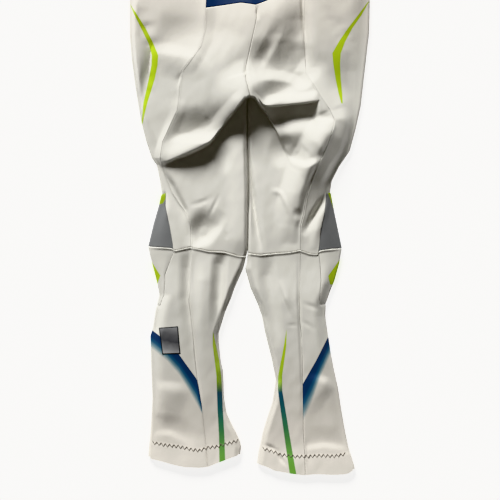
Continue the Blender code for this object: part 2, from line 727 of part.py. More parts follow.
def height_on(verts, faces, x, y):
    """Height of the highest facet over a point."""
    best = None
    for face in faces:
        a, b, c = [verts[i] for i in face]
        area = (b[0] - a[0]) * (c[1] - a[1]) - (c[0] - a[0]) * (b[1] - a[1])
        if abs(area) < 1e-6:
            continue
        v = ((x - a[0]) * (c[1] - a[1]) - (c[0] - a[0]) * (y - a[1])) / area
        w = ((b[0] - a[0]) * (y - a[1]) - (x - a[0]) * (b[1] - a[1])) / area
        if v >= -1e-6 and w >= -1e-6 and v + w <= 1.0 + 1e-6:
            z = a[2] + v * (b[2] - a[2]) + w * (c[2] - a[2])
            best = z if best is None else max(best, z)
    return best


def patch_mesh(verts, faces):
    """Silver patch, its points those of the outer calf moved out."""
    across, along = PATCH_GRID
    low, high = [], []
    for row in range(along + 1):
        for column in range(across + 1):
            u, v = column / across, row / along
            near = [(1 - u) * PATCH[0][n] + u * PATCH[1][n] for n in range(2)]
            far = [(1 - u) * PATCH[3][n] + u * PATCH[2][n] for n in range(2)]
            x, y, _ = place((1 - v) * near[0] + v * far[0], (1 - v) * near[1] + v * far[1], 0.0)
            z = height_on(verts, faces, x, y) + PATCH_LIFT
            low.append((x, y, z))
            high.append((x, y, z + PATCH_THICK))
    count = len(low)
    wide = across + 1
    solid = []
    for row in range(along):
        for column in range(across):
            a = row * wide + column
            b, c, d = a + 1, a + wide + 1, a + wide
            solid += [[a + count, b + count, c + count], [a + count, c + count, d + count]]
            solid += [[c, b, a], [d, c, a]]
    rim = list(range(across)) + [at * wide + across for at in range(along)]
    rim += [along * wide + at for at in range(across, 0, -1)]
    rim += [at * wide for at in range(along, 0, -1)]
    for at, a in enumerate(rim):
        b = rim[(at + 1) % len(rim)]
        solid += [[a, b, b + count], [a, b + count, a + count]]
    return low + high, solid


def hinge_height():
    return TENT_HEIGHT - PLAY - SLIDER_THICK - PLAY - EYE_RADIUS


def hinge_line():
    return (CROTCH[1] - SLIDER_AT) * UNIT


def ring_prism(inner, outer, x0, x1):
    """Solid across x between an inner and an outer loop of (y, z) points, or a full prism."""
    count = len(outer)
    verts = [(x0, y, z) for y, z in outer] + [(x1, y, z) for y, z in outer]
    faces = [[at, (at + 1) % count, (at + 1) % count + count, at + count]
             for at in range(count)]
    if not inner:
        return verts, faces + [list(range(count - 1, -1, -1)), list(range(count, 2 * count))]
    verts += [(x0, y, z) for y, z in inner] + [(x1, y, z) for y, z in inner]
    for at in range(count):
        after = (at + 1) % count
        faces.append([after + 2 * count, at + 2 * count, at + 3 * count, after + 3 * count])
        faces.append([after, at, at + 2 * count, after + 2 * count])
        faces.append([at + count, after + count, after + 3 * count, at + 3 * count])
    return verts, faces


def round_loop(radius, count):
    angles = [2 * math.pi * (at + 0.5) / count for at in range(count)]
    return [(hinge_line() + radius * math.cos(turn), hinge_height() + radius * math.sin(turn))
            for turn in angles]


def add_slider(shift):
    """Zip slider: a plate, two lugs and the pin the tab hangs from, as one solid."""
    y, z = hinge_line(), hinge_height()
    high = TENT_HEIGHT - PLAY
    plate = [(y - SLIDER_LENGTH / 2, high - SLIDER_THICK), (y + SLIDER_LENGTH / 2,
             high - SLIDER_THICK), (y + SLIDER_LENGTH / 2, high), (y - SLIDER_LENGTH / 2, high)]
    lug = [(y - LUG_LENGTH / 2, z - 1.1), (y + LUG_LENGTH / 2, z - 1.1),
           (y + LUG_LENGTH / 2, high - SLIDER_THICK / 2),
           (y - LUG_LENGTH / 2, high - SLIDER_THICK / 2)]
    near = TAB_WIDTH / 2 + PLAY
    half = SLIDER_WIDTH / 2
    pieces = [ring_prism([], plate, -half, half), ring_prism([], lug, near, near + LUG_WIDTH),
              ring_prism([], lug, -near - LUG_WIDTH, -near),
              ring_prism([], round_loop(PIN_RADIUS, EYE_SIDES), -near - 0.7, near + 0.7)]
    made = []
    for number, (verts, faces) in enumerate(pieces):
        name = "zip_slider" if number == 0 else "slider_piece_" + str(number)
        made.append(add_object(name, verts, faces, "metal", shift))
    for other in made[1:]:
        weld = made[0].modifiers.new(other.name, "BOOLEAN")
        weld.operation = "UNION"
        weld.solver = "EXACT"
        weld.object = other
    bpy.context.view_layer.update()
    graph = bpy.context.evaluated_depsgraph_get()
    welded = bpy.data.meshes.new_from_object(made[0].evaluated_get(graph))
    made[0].modifiers.clear()
    made[0].data = welded
    for other in made[1:]:
        bpy.data.objects.remove(other, do_unlink=True)


def add_tab(shift):
    """Pull tab with an eye round the pin, lying down along the zip."""
    count = EYE_SIDES
    inner = round_loop(EYE_HOLE, count)
    outer = round_loop(EYE_RADIUS, count)
    far = hinge_line() - TAB_LENGTH
    outer[count // 2 - 1] = (far, hinge_height() + TAB_THICK / 2)
    outer[count // 2] = (far, hinge_height() - TAB_THICK / 2)
    verts, faces = ring_prism(inner, outer, -TAB_WIDTH / 2, TAB_WIDTH / 2)
    add_object("pull_tab", verts, faces, "black", shift)


def main():
    for old in list(bpy.data.objects):
        bpy.data.objects.remove(old, do_unlink=True)
    cloth = Cloth()
    add_legs(cloth)
    add_chest(cloth, add_body(cloth))
    normals = cloth.normals()
    names = []
    for label, _ in cloth.quads:
        if label not in names:
            names.append(label)
    solids = [(name, *panel_mesh(cloth, normals, name)) for name in names]
    everything = np.array([p for _, verts, _ in solids for p in verts])
    middle = (everything.min(axis=0) + everything.max(axis=0)) / 2
    for name, verts, faces in solids:
        add_object(name, verts, faces, colour_of(name), middle)
    calf = [solid for solid in solids if solid[0] == "calf_outer_left"][0]
    verts, faces = patch_mesh(calf[1], calf[2])
    add_object("calf_patch", verts, faces, "silver", middle)
    add_slider(middle)
    add_tab(middle)


main()
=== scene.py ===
"""Ski race suit, laid flat with its back up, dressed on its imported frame."""

import math
from collections import namedtuple

import bpy
import numpy as np
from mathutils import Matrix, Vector, noise
from mathutils.kdtree import KDTree


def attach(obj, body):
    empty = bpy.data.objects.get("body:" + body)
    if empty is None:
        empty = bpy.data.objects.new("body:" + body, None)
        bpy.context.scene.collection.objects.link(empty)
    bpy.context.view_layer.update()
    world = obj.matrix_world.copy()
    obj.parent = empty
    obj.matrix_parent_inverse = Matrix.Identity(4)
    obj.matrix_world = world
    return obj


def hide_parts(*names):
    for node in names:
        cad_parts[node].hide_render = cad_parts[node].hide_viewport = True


bl_info = {
    "name": "Ski Race Suit",
    "version": (1, 0, 0),
    "blender": (4, 5, 0),
    "location": "View3D > Sidebar > Race Suit",
    "description": "Builds a laid out ski race suit with seams, prints, stitches and zip",
    "category": "Object",
}

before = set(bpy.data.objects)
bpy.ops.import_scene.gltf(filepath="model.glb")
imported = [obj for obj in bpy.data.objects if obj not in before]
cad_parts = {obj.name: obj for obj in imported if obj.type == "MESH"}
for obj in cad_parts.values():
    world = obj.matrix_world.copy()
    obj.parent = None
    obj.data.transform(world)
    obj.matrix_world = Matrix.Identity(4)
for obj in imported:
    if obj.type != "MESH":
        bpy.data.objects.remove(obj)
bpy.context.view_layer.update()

# The plan is drawn in units of 1.85 mm, x to the right and y down the legs
UNIT = 0.00185
CROTCH = (250.0, 96.0)
SHIFT_Y = 0.015628
BEND = 0.004
CAD_CLOTH = 0.0012
UNDERARM = (130.0, -136.4)
SHOULDER_TIP = (139.2, -245.6)
NECK_POINT = (200.3, -267.2)
BACK_NECK_DIP = 7.0
FRONT_NECK_DIP = 22.0
ZIP_START = 0.0
ZIP_HALF = 0.008
SLIDER_AT = -283.0
TENT_HEIGHT = 0.006
COLLAR_HEIGHT = 0.060
CUFF_TIP = (0.618, 0.219)
CUFF_WIDTH = 0.096
EDGE_FADE = 0.022
HIP_FADE = 0.011
SEAM_RIDGE = 0.9
SEAM_WIDTH = 3.2
KNEE_RIDGE = 1.3
KNEE_RIDGE_AT = 1.7
KNEE_RIDGE_WIDTH = 1.9
CLOTH = 0.0011
SEAM_DIP = 0.0008
SEAM_GAP = 0.00015
HEM_RISE = 0.00055
TAPE_LIFT = 0.0009
THREAD_LIFT = 0.0002
TOOTH_HEIGHT = 0.0007
TOOTH_LENGTH_SHARE = 1.25
PATCH_LIFT = 0.00025
PATCH_QUADS = (18, 26)
SIDE_NAMES = ("left", "right")

# Outer and inner edges, as (y, x)
LEFT_EDGE = [(-137, 130), (-90, 139), (-40, 133), (0, 130), (35, 130), (60, 132), (90, 136),
             (120, 141), (140, 146), (158, 152), (165, 157), (180, 160), (193, 162), (206, 159),
             (223, 154), (246.5, 148.4), (254.5, 150), (266, 153), (281, 157), (295, 159.6),
             (309, 156), (328, 153), (336, 150.6), (370, 151.5), (398, 152.6), (430, 151),
             (453, 149), (470, 149)]
RIGHT_EDGE = [(-137, 370), (-90, 361), (-40, 367), (0, 369.6), (33, 368.8), (70, 364.6),
              (106, 360.5), (129, 355.5), (151, 349.5), (166.5, 339), (181, 331.5), (191, 330),
              (212, 334), (248, 341.5), (263, 339), (281, 334), (288, 331), (303, 325.6),
              (316, 325), (330, 327), (350, 330), (370, 333.9), (387, 337.7), (409, 341),
              (430, 344.7), (446, 348), (466, 353.9), (476, 355)]
LEFT_INNER = [(96, 250), (96.8, 249.4), (98.5, 248.5), (104, 247.2), (120, 246.9), (150, 247.1),
              (190, 247.6), (225, 247.7), (250, 247.4), (262, 244.8), (269, 242.8), (289, 234),
              (298, 231), (312, 225), (333, 218.6), (341, 218.6), (361, 220.7), (370, 222.8),
              (398, 224),
              (412, 226.3), (422.6, 231), (432, 236), (440, 239.6), (447, 240.7), (454, 239.6),
              (470, 239)]
RIGHT_INNER = [(96, 250), (96.8, 249.7), (98.5, 248.9), (104, 247.7), (120, 247.5), (150, 247.7),
               (190, 248.2), (225, 248.3), (250, 248), (262, 247.2), (269, 245.4), (271, 246),
               (287.5, 250.5), (303, 257.5), (316, 262), (330, 264.6), (344, 268), (358, 271.6),
               (375, 275),
               (380, 275.8), (402, 272.5), (419, 266.8), (433, 262.6), (451, 259), (463, 257.3),
               (476, 256)]
CENTRE_BACK = [(-220, 250), (-90, 250), (6, 256), (18, 257), (50, 250), (68, 246), (80, 246),
               (96, 250)]

# Back leg seams, as (y, x), and the side seams as (y, distance in from the outer edge)
LEFT_PRINCESS = [(-220, 200.3), (-137, 203), (-90, 210), (0, 206.3), (8, 206), (30, 205),
                 (48, 200), (62, 190), (72, 182), (111, 178), (142, 163), (158, 160.5),
                 (166, 162.2), (177, 165.5), (193, 172), (205, 180), (214, 187), (224, 190.5),
                 (247, 191.3), (280, 191), (301, 189), (316, 191), (333, 193), (354, 194.7),
                 (380, 197.5), (405, 201.8), (426, 204), (444, 206), (470, 208)]
RIGHT_PRINCESS = [(-220, 299.7), (-137, 297), (-90, 290), (0, 304), (40, 304), (74, 306),
                  (100, 322), (110, 329), (121, 334), (128, 333), (142, 328.2), (160, 320.5),
                  (173, 314.5), (182, 311.5), (199, 306),
                  (215, 303.5), (226.5, 300.4), (248, 300.4), (270, 300), (305, 299.6),
                  (319, 299.6), (340, 301.8), (380, 302.5), (412, 303), (433, 303.3),
                  (454, 304.7), (476, 305.4)]
LEFT_SIDE = [(-220, 6), (140, 5), (158, 3.2), (191, 3.6), (206, 6.5), (226, 16.5), (246, 24.6),
             (253, 24), (275, 9.7), (300, 3.4), (476, 3.4)]
RIGHT_SIDE = [(-220, 6), (150, 6), (191, 3.6), (211, 9), (230, 17), (249, 22.6), (254, 22),
              (287, 11), (312, 3.4), (476, 3.4)]

# Cross rows, as (x, y)
SHOULDER_ROW = [(139.2, -245.6), (200.3, -267.2)]
WAIST_ROW = [(130, 8), (206, 9), (241, 4), (256, 6), (272, 0), (304, -3), (370, -3)]
LIP_ROW = [(128, 168), (140, 166.5), (157, 163.5), (165, 161.5), (175, 158), (189, 153.5),
           (203, 147), (210, 142.5), (214, 137), (224, 124), (238, 106.5), (244, 98.5),
           (250, 96), (255.5, 98), (259, 104), (265, 111), (271, 121), (277, 131), (283, 144),
           (290, 153), (305, 160), (325, 163), (345, 163), (372, 163)]
SLOT_ROW = [(128, 156), (140, 154.5), (157, 151.5), (165, 149.5), (175, 146), (189, 141.5),
            (203, 135), (210, 130.5), (214, 125), (224, 112), (238, 98), (244, 95), (250, 94.5),
            (254, 95), (258, 98.5), (261, 102.5), (264, 105.6), (270, 106.3), (285, 105),
            (304, 103), (317, 101), (330, 99), (345, 98), (372, 100)]
LEFT_KNEE_ROW = [(140, 246), (148.4, 246.5), (172, 248), (175, 250.4), (190.5, 247),
                 (209, 251), (224, 251.8), (238, 255.7), (248, 256.4)]
RIGHT_KNEE_ROW = [(248.4, 253.3), (260.7, 254.8), (274.4, 253.3), (289.7, 252), (300, 250),
                  (309, 253.3), (317.3, 254), (319, 250.5), (331.8, 248.7), (345, 248)]
LEFT_HEM_ROW = [(148, 455), (150.5, 458.5), (161, 461), (174, 464.7), (184, 466.8), (200, 467.5),
                (208.5, 466.5), (219.5, 462), (238, 455), (241, 453)]
RIGHT_HEM_ROW = [(257.3, 463.3), (267.5, 467), (274.6, 470.4), (289, 473), (303, 475),
                 (317, 474), (334, 474.6), (347, 474), (353, 470), (356, 467)]
LEFT_STITCH_ROW = [(148, 441), (152, 442), (164.6, 444.4), (179, 446), (192, 449), (199.6, 450),
                   (207, 447), (217, 446), (227.7, 443), (238, 440), (241, 439)]
RIGHT_STITCH_ROW = [(257, 446), (263, 448), (274.6, 451.4), (280, 454), (295.6, 456),
                    (309.6, 455.6), (320, 455), (334, 455.6), (348, 452.8), (352, 452)]

# Width of the drop under the seat, in plan units across x
LIP_WIDTH = [(128, 14), (150, 12), (162, 6), (176, 3), (205, 2.4), (272, 2.4), (282, 5), (292, 14),
             (310, 26), (345, 20)]

# Lift of the fold over the right seat and drop beneath it, in millimetres
SLOT_LIFT = [(262, 0), (268, 5), (277, 10), (290, 11), (305, 10), (314, 6), (319, 0)]
SLOT_FALL = [(258, 0), (264, 8), (270, 10), (300, 10), (314, 9), (318, 0)]

# The drop's edge, the fold's overhang and where the hollow beneath ends, in plan units
SLOT_EDGE = 1.6
SLOT_OVERHANG = 11.0
SLOT_END = (12.0, 20.0)

# Swells of the cloth: centre x, centre y, half width, half length, rise in millimetres
SEAT_SWELLS = [
    (212, 96, 66, 70, 22), (282, 104, 62, 60, 13), (248, 44, 50, 70, 12),
    (250, 98, 40, 40, 22), (305, 131, 34, 18, 6), (284, 10, 26, 36, 11),
    (176, 30, 26, 26, -2), (325, 118, 9, 8, -3),
]
LEG_SWELLS = [
    (203, 228, 17, 22, -7), (297, 214, 6, 7, -2.5), (281, 150, 15, 20, -6),
    (224, 158, 12, 18, -3.5),
]
# Folds: crest points (x, y, rise in millimetres), reach to the left and to the right of the way
# the crest runs, in millimetres
SEAT_FOLDS = [
    ([(168, 132, 0), (180, 133, -7), (192, 134, -10), (204, 134, -11), (214, 131, -9),
      (226, 120, -4), (238, 106, 0)], 54, 20),
    ([(163, 162, 2), (180, 155, 11), (197, 148, 14), (210, 141, 11), (216, 134, 5),
      (224, 124, 0)], 34, 14),
    ([(168, 160, 1), (185, 153, 3), (200, 147, 3), (212, 138, 3), (225, 121, 6), (240, 104, 4),
      (250, 97, 0)], 22, 10),
    ([(179, 100, 0), (176, 113, 3), (163, 142, 4), (158, 158, 3)], 22, 10),
    ([(156, 56, 0), (164, 55, 5), (180, 57, 6), (192, 60, 4), (202, 52, 0)], 12, 46),
    ([(158, 43, 0), (166, 43, -5), (176, 45, -4), (192, 48, 0)], 60, 12),
    ([(207, 0, 3), (205, 20, 3), (203, 38, 3), (195, 55, 4), (183, 72, 0)], 22, 14),
    ([(182, 72, 0), (180, 79, -2.4), (177, 90, 0)], 3, 5),
    ([(254, 72, -3), (264, 69, -9), (280, 70, -13), (294, 72, -13), (304, 79, -7), (311, 85, 0)],
     60, 24),
    ([(278, 20, 0), (275, 34, -3), (268, 48, -4), (258, 66, -2), (254, 78, 0)], 15, 16),
    ([(300, -40, 0), (302, -10, -7), (304, 20, -10), (306, 50, -7), (307, 72, 0)], 12, 58),
    ([(257, 105, 0), (262, 100, -6), (270, 95, -8), (285, 89, -7), (300, 82, -4), (308, 78, 0)],
     30, 20),
    ([(286, 152, -2), (294, 159, -8), (304, 161, -13), (312, 159, -11), (321, 149, 0)], 34, 13),
    ([(302, -6, -4), (303, 20, -4), (305, 40, -3), (306, 76, 0)], 6, 6),
    ([(329, 6, 0), (338, 26, -3), (346, 42, -3), (354, 58, 0)], 8, 8),
    ([(320, 0, 0), (330, 20, -3), (338, 40, 0)], 10, 10),
    ([(137, 8, -2), (146, 29, -7), (152, 49, -9), (151.5, 62, -9), (148, 84, -6),
      (142, 112, 0)], 6, 19),
    ([(148, -6, -4), (150, 14, -4), (150, 34, 0)], 9, 9),
    ([(345, 50, 0), (349, 72, -4), (352, 96, 0)], 8, 10),
    ([(258, 6, 0), (257, 14, -3), (258, 22, 0)], 4, 4),
    ([(246, 60, 0), (245, 74, -3), (247, 82, -3), (250, 96, -2)], 5, 4),
]
LEG_FOLDS = [
    ([(243, 120, 0), (243.4, 146, 6), (243.8, 200, 8), (243.4, 240, 5), (243, 254, 0)], 7.5, 36),
    ([(158, 166, -4), (172, 186, -7), (184, 210, -7), (190, 236, -4), (191, 254, 0)], 10, 26),
    ([(190, 243, 0), (196, 241, -6), (206, 236, -7), (216, 226, -5), (224, 212, 0)], 44, 15),
    ([(189, 206, 0), (201, 203, -2.2), (214, 197, 0)], 5, 4),
    ([(208, 218, 0), (214, 206, -2.4), (220, 194, 0)], 4, 5),
    ([(222, 237, 0), (228, 235, -1.2), (234, 232, 0)], 3, 3),
    ([(269, 192, 0), (276, 192, 2), (281, 194, 2.4), (290, 216, 0)], 7, 4),
    ([(334, 121, 0), (328, 134, 4), (321, 145, 6), (313, 160, 7), (306, 176, 7), (299, 195, 6),
      (296, 212, 5), (293, 228, 3), (293, 244, 0)], 12, 40),
    ([(304, 74, 0), (312, 86, 4), (322, 100, 9), (331, 111, 13), (334, 121, 18), (328, 134, 23),
      (321, 145, 25), (313, 160, 24), (306, 176, 19), (300, 194, 13), (296, 210, 7),
      (293, 226, 3), (293, 244, 0)], 48, 42),
    ([(330, 186, 0), (322, 202, -8), (313, 217, -8), (303, 236, 0)], 9, 10),
    ([(330, 194, 0), (324, 210, 4), (317, 230, 4), (313, 251, 0)], 10, 12),
    ([(248.6, 130, 0), (249.6, 152, -8), (252, 182, -11), (255, 208, -9), (258.5, 232, -5),
      (262, 251, 0)], 2.4, 14),
    ([(254, 150, 0), (258, 190, 3), (263, 214, 3), (268, 250, 0)], 26, 7),
    ([(224, 252, 0), (221, 264, -7), (220, 282, -9), (219, 300, -9), (219, 318, -5),
      (218, 334, 0)], 14, 20),
    ([(206, 254, 0), (203, 280, 6), (203, 330, 5), (206, 372, 2), (208, 405, 0)], 28, 20),
    ([(190, 246, 0), (189, 268, -8), (189, 298, -9), (192, 326, -6), (197, 369, -3),
      (202, 405, 0)], 5, 20),
    ([(266, 254, 0), (268, 275, -6), (271, 300, -6), (274, 322, -4), (277, 348, 0)], 18, 22),
    ([(280, 280, 0), (286, 298, 3), (294, 318, 0)], 12, 5),
    ([(301, 302, 0), (312, 306, -1.6), (326, 312, 0)], 5, 7),
    ([(299, 319, 0), (307, 324, -1.2), (316, 330, 0)], 5, 6),
    ([(285, 325, 0), (292, 325, -1.0), (300, 325, 0)], 4, 4),
    ([(299.5, 250, 0), (299.5, 300, -3), (301, 333, -2.5), (303, 380, -2), (304, 440, 0)], 2, 7),
    ([(149, 388, 2), (160, 391, 4), (175, 392, 4), (188, 398, 0)], 22, 64),
    ([(149, 431, -2), (160, 428, -2.5), (172, 428, -3), (182, 434, -3), (197, 444, 0)], 30, 14),
    ([(150, 410, 0), (158, 418, -2), (161, 428, 0)], 10, 10),
    ([(262, 443, 0), (271, 447, -2.5), (281, 452, 0)], 4, 5),
    ([(274, 450, 0), (281, 459, -2.5), (287, 466, 0)], 5, 4),
    ([(306, 438, 0), (307, 455, -2), (309, 472, 0)], 3, 4),
    ([(304, 380, 0), (314, 381, 3), (324, 384, 5), (334, 392, 0)], 16, 70),
    ([(302, 446, 0), (310, 443, -2), (325, 441, -2.5), (344, 444, -2)], 34, 12),
]
# Base heights of the upper layer, in millimetres, and where each begins or ends, as (place, reach)
SEAT_BASE = 20.0
SEAT_START = (-90.0, 110.0)
SEAT_FALL = (40.0, 60.0)
HIP_FALL = (315.0, 40.0)
THIGH_BASE = 6.0
CALF_BASE = 5.0
CALF_START = (230.0, 40.0)
CALF_CROWN = 7.0
CROWN_START = (256.0, 50.0)
CROWN_END = (445.0, 130.0)
HEM_FALL = (400.0, 60.0)
DEEPEST = -5.5
# Reach of the wider fade at the right hip, in metres, and the rows between which hips fade
WIDE_FADE = 0.022
HIP_START = (-20.0, 40.0)
LEFT_HIP_END = (150.0, 40.0)
RIGHT_HIP_END = (130.0, 40.0)
# Fade towards the gap between the legs, in metres, and the rows over which it widens
GAP_FADE = 0.0045
GAP_FADE_MORE = 0.0075
GAP_OPEN = (246.0, 30.0)
RIPPLE_START = (-150.0, 60.0)
CALF_SEAM_START = (235.0, 20.0)
PATCH = [(162.5, 354), (180.7, 353.5), (178.2, 326), (159, 327.5)]


def pick(table, at):
    """Value of a (place, value) table at many places."""
    places, values = zip(*table)
    return np.interp(at, places, values)


def line_of(table):
    return lambda at: pick(table, at)


def unit_rows(rows):
    """Rows of vectors at length 1."""
    return rows / np.maximum(np.linalg.norm(rows, axis=1), 1e-12)[:, None]


def smooth(t):
    t = np.clip(t, 0.0, 1.0)
    return t * t * (3.0 - 2.0 * t)


def bump_of(away):
    """Round bump that is 1 at 0 and 0 from 1 on."""
    return np.clip(1.0 - away ** 2, 0.0, 1.0)


def climb(value, start, reach):
    """Smooth climb from 0 at start to 1 past its reach."""
    return smooth((value - start) / reach)


def drop_to(value, end, reach):
    """Smooth drop to 0 at end, from 1 before its reach."""
    return smooth((end - value) / reach)


def swell(x, y, centre_x, centre_y, half_x, half_y, rise):
    away = ((x - centre_x) / half_x) ** 2 + ((y - centre_y) / half_y) ** 2
    return rise * np.clip(1.0 - away, 0.0, 1.0) ** 2


def fold(x, y, crest, reach_left, reach_right):
    """Height of a soft fold along its crest line, in millimetres."""
    best = np.full(np.shape(x), 1e9)
    side = np.ones(np.shape(x))
    rise = np.zeros(np.shape(x))
    for (x1, y1, r1), (x2, y2, r2) in zip(crest[:-1], crest[1:]):
        dx, dy = x2 - x1, y2 - y1
        share = np.clip(((x - x1) * dx + (y - y1) * dy) / (dx * dx + dy * dy), 0.0, 1.0)
        off_x, off_y = x - x1 - dx * share, y - y1 - dy * share
        away = np.hypot(off_x, off_y)
        nearer = away < best
        best = np.where(nearer, away, best)
        side = np.where(nearer, dy * off_x - dx * off_y, side)
        rise = np.where(nearer, r1 + (r2 - r1) * share, rise)
    reach = np.where(side > 0.0, reach_left, reach_right) * 0.001 / UNIT
    return rise * (1.0 - np.clip(best / reach, 0.0, 1.0) ** 2) ** 2


def slot(x, y):
    """Fold that hangs over the right seat and the drop beneath it, in millimetres."""
    below = y - pick(SLOT_ROW, x)
    edge = smooth(below / SLOT_EDGE)
    above = bump_of(np.minimum(below, 0.0) / SLOT_OVERHANG) ** 2
    lift = pick(SLOT_LIFT, x) * above * (1.0 - edge)
    return lift - pick(SLOT_FALL, x) * edge * (1.0 - climb(below, *SLOT_END))


def relief(x, y):
    """Rise of the upper layer over its flat lie, in millimetres."""
    seat = SEAT_BASE * climb(y, *SEAT_START) * (1.0 - 0.5 * climb(y, *SEAT_FALL))
    seat = seat * (1.0 - 0.45 * climb(x, *HIP_FALL))
    seat = seat + sum(swell(x, y, *row) for row in SEAT_SWELLS)
    seat = seat + sum(fold(x, y, *row) for row in SEAT_FOLDS) + slot(x, y)
    thigh = THIGH_BASE + (CALF_BASE - THIGH_BASE) * climb(y, *CALF_START)
    thigh = thigh + CALF_CROWN * climb(y, *CROWN_START) * drop_to(y, *CROWN_END)
    thigh = thigh * (1.0 - 0.5 * climb(y, *HEM_FALL))
    on_seat = smooth((pick(LIP_ROW, x) - y) / pick(LIP_WIDTH, x) + 1.0)
    whole = thigh * (1.0 - on_seat) + seat * on_seat
    whole = whole + sum(fold(x, y, *row) for row in LEG_FOLDS)
    whole = whole + sum(swell(x, y, *row) for row in LEG_SWELLS)
    return np.maximum(whole, DEEPEST)


def ripple(x, y):
    """Small unevenness of the lie, in millimetres."""
    total = np.zeros(x.size)
    for at, (px, py) in enumerate(zip(x.ravel(), y.ravel())):
        broad = noise.noise(Vector((px / 21.0, py / 34.0, 3.7)))
        fine = noise.noise(Vector((px / 8.0 + py / 30.0, py / 13.0, 9.1)))
        total[at] = 1.1 * broad + 0.42 * fine
    return total.reshape(x.shape)


def tent(x, y):
    """Lift of both layers over the zip slider, in metres."""
    away = np.hypot((x - CROTCH[0]) / 22.0, (y - SLIDER_AT - 7.0) / 28.0)
    return TENT_HEIGHT * smooth((1.0 - away) / 0.55)


def place(x, y, z):
    """Points in the row frame from plan points and heights in metres."""
    return np.stack([(x - CROTCH[0]) * UNIT, (CROTCH[1] - y) * UNIT - SHIFT_Y,
                     z + 0.0 * x], axis=-1)


def plan_y(points):
    """Plan y of points in the row frame."""
    return CROTCH[1] - (points[..., 1] + SHIFT_Y) / UNIT


# One side of the suit, with its plan tables
Side = namedtuple("Side", "name sign edge inner princess side knee hem stitch")
SIDES = [
    Side("left", -1.0, LEFT_EDGE, LEFT_INNER, LEFT_PRINCESS, LEFT_SIDE, LEFT_KNEE_ROW,
         LEFT_HEM_ROW, LEFT_STITCH_ROW),
    Side("right", 1.0, RIGHT_EDGE, RIGHT_INNER, RIGHT_PRINCESS, RIGHT_SIDE, RIGHT_KNEE_ROW,
         RIGHT_HEM_ROW, RIGHT_STITCH_ROW),
]

ARC = np.radians(np.linspace(-90.0, 90.0, 9))
EDGE_COLUMNS = 5
SIDE_COLUMNS = 16
BACK_COLUMNS = 52
UNDER_COLUMNS = 5
SEAM_STEP = 0.65


def spread(count, length):
    """Shares from 0 to 1 with a close step at both ends, beside the seams."""
    steps = 3 if count > 11 else 1
    near = min(SEAM_STEP / length, 0.5 / count) * np.arange(steps + 1)
    inner = np.linspace(near[-1], 1.0 - near[-1], count + 1 - 2 * steps)
    return np.concatenate([near[:-1], inner, 1.0 - near[:-1][::-1]])


def settle(low, high, row_shares, first, last, parts):
    """Plan points where rows between two cross curves meet columns between two long lines."""
    share = np.asarray(row_shares)[:, None]
    part = np.asarray(parts)[None, :]
    x = np.full((share.size, part.size), CROTCH[0])
    for _ in range(220):
        y = low(x) + share * (high(x) - low(x))
        start = first(y)
        found = start + part * (last(y) - start)
        x = 0.5 * (x + found)
    return x, low(x) + share * (high(x) - low(x))


def long_lines(side, leg, top):
    """Lengthwise lines of one layer from the outer edge inward, with column shares."""
    bend = BEND / UNIT
    shift = -side.sign

    def outer(y):
        return pick(side.edge, y) + shift * bend

    def side_seam(y):
        return pick(side.edge, y) + shift * pick(side.side, y)

    def princess(y):
        return pick(side.princess, y)

    def end(y):
        if leg:
            return pick(side.inner, y) - shift * bend * np.clip((y - 96.0) / 5.0, 0.0, 1.0)
        return pick(CENTRE_BACK, y) if top else CROTCH[0] + 0.0 * y

    def zip_line(y):
        return end(y) - shift * (ZIP_HALF / UNIT)

    def quarter(y):
        return outer(y) + 0.72 * (zip_line(y) - outer(y))

    if top:
        return [(outer, side_seam, spread(EDGE_COLUMNS, 8.0)),
                (side_seam, princess, spread(SIDE_COLUMNS, 30.0)),
                (princess, end, spread(BACK_COLUMNS, 50.0))]
    return [(outer, quarter, spread(UNDER_COLUMNS, 60.0)),
            (quarter, zip_line, spread(UNDER_COLUMNS, 30.0)),
            (zip_line, end, np.array([0.0, 0.5, 1.0]))]


def layer_grid(side, low, high, shares, leg, top):
    """Plan points of one layer, rows by columns, outer edge first."""
    xs, ys = [], []
    for at, (first, last, parts) in enumerate(long_lines(side, leg, top)):
        x, y = settle(low, high, shares, first, last, parts)
        xs.append(x if at == 0 else x[:, 1:])
        ys.append(y if at == 0 else y[:, 1:])
    return np.hstack(xs), np.hstack(ys)


def height(side, x, y, leg):
    """Middle height of the upper layer, in metres."""
    outer = (x - pick(side.edge, y)) * -side.sign * UNIT
    start = climb(y, *HIP_START)
    wide = WIDE_FADE * start * drop_to(y, *RIGHT_HIP_END) * (side.sign > 0.0)
    hip = start * drop_to(y, *LEFT_HIP_END) * (side.sign < 0.0)
    fade = smooth(outer / (EDGE_FADE + wide + (HIP_FADE - EDGE_FADE) * hip))
    if leg:
        inner = (x - pick(side.inner, y)) * side.sign * UNIT
        lip = (y - pick(LIP_ROW, x)) * UNIT
        near = smooth(inner / (GAP_FADE + GAP_FADE_MORE * climb(y, *GAP_OPEN)))
        fade = fade * (near + (1.0 - near) * (1.0 - smooth((lip - 0.001) / 0.008)))
    rough = ripple(x, y) * climb(y, *RIPPLE_START)
    long_seam = np.abs(x - pick(side.princess, y)) * UNIT * 1000.0 / SEAM_WIDTH
    raised = SEAM_RIDGE * bump_of(long_seam) ** 2
    raised = raised * (1.0 - 0.75 * climb(y, *CALF_SEAM_START))
    if leg:
        past = (y - pick(side.knee, x)) * UNIT * 1000.0
        raised = raised + KNEE_RIDGE * bump_of((past - KNEE_RIDGE_AT) / KNEE_RIDGE_WIDTH)
    shape = np.maximum(relief(x, y) + rough, DEEPEST) + raised
    return CAD_CLOTH / 2 + 2 * BEND + 0.001 * shape * fade + tent(x, y)


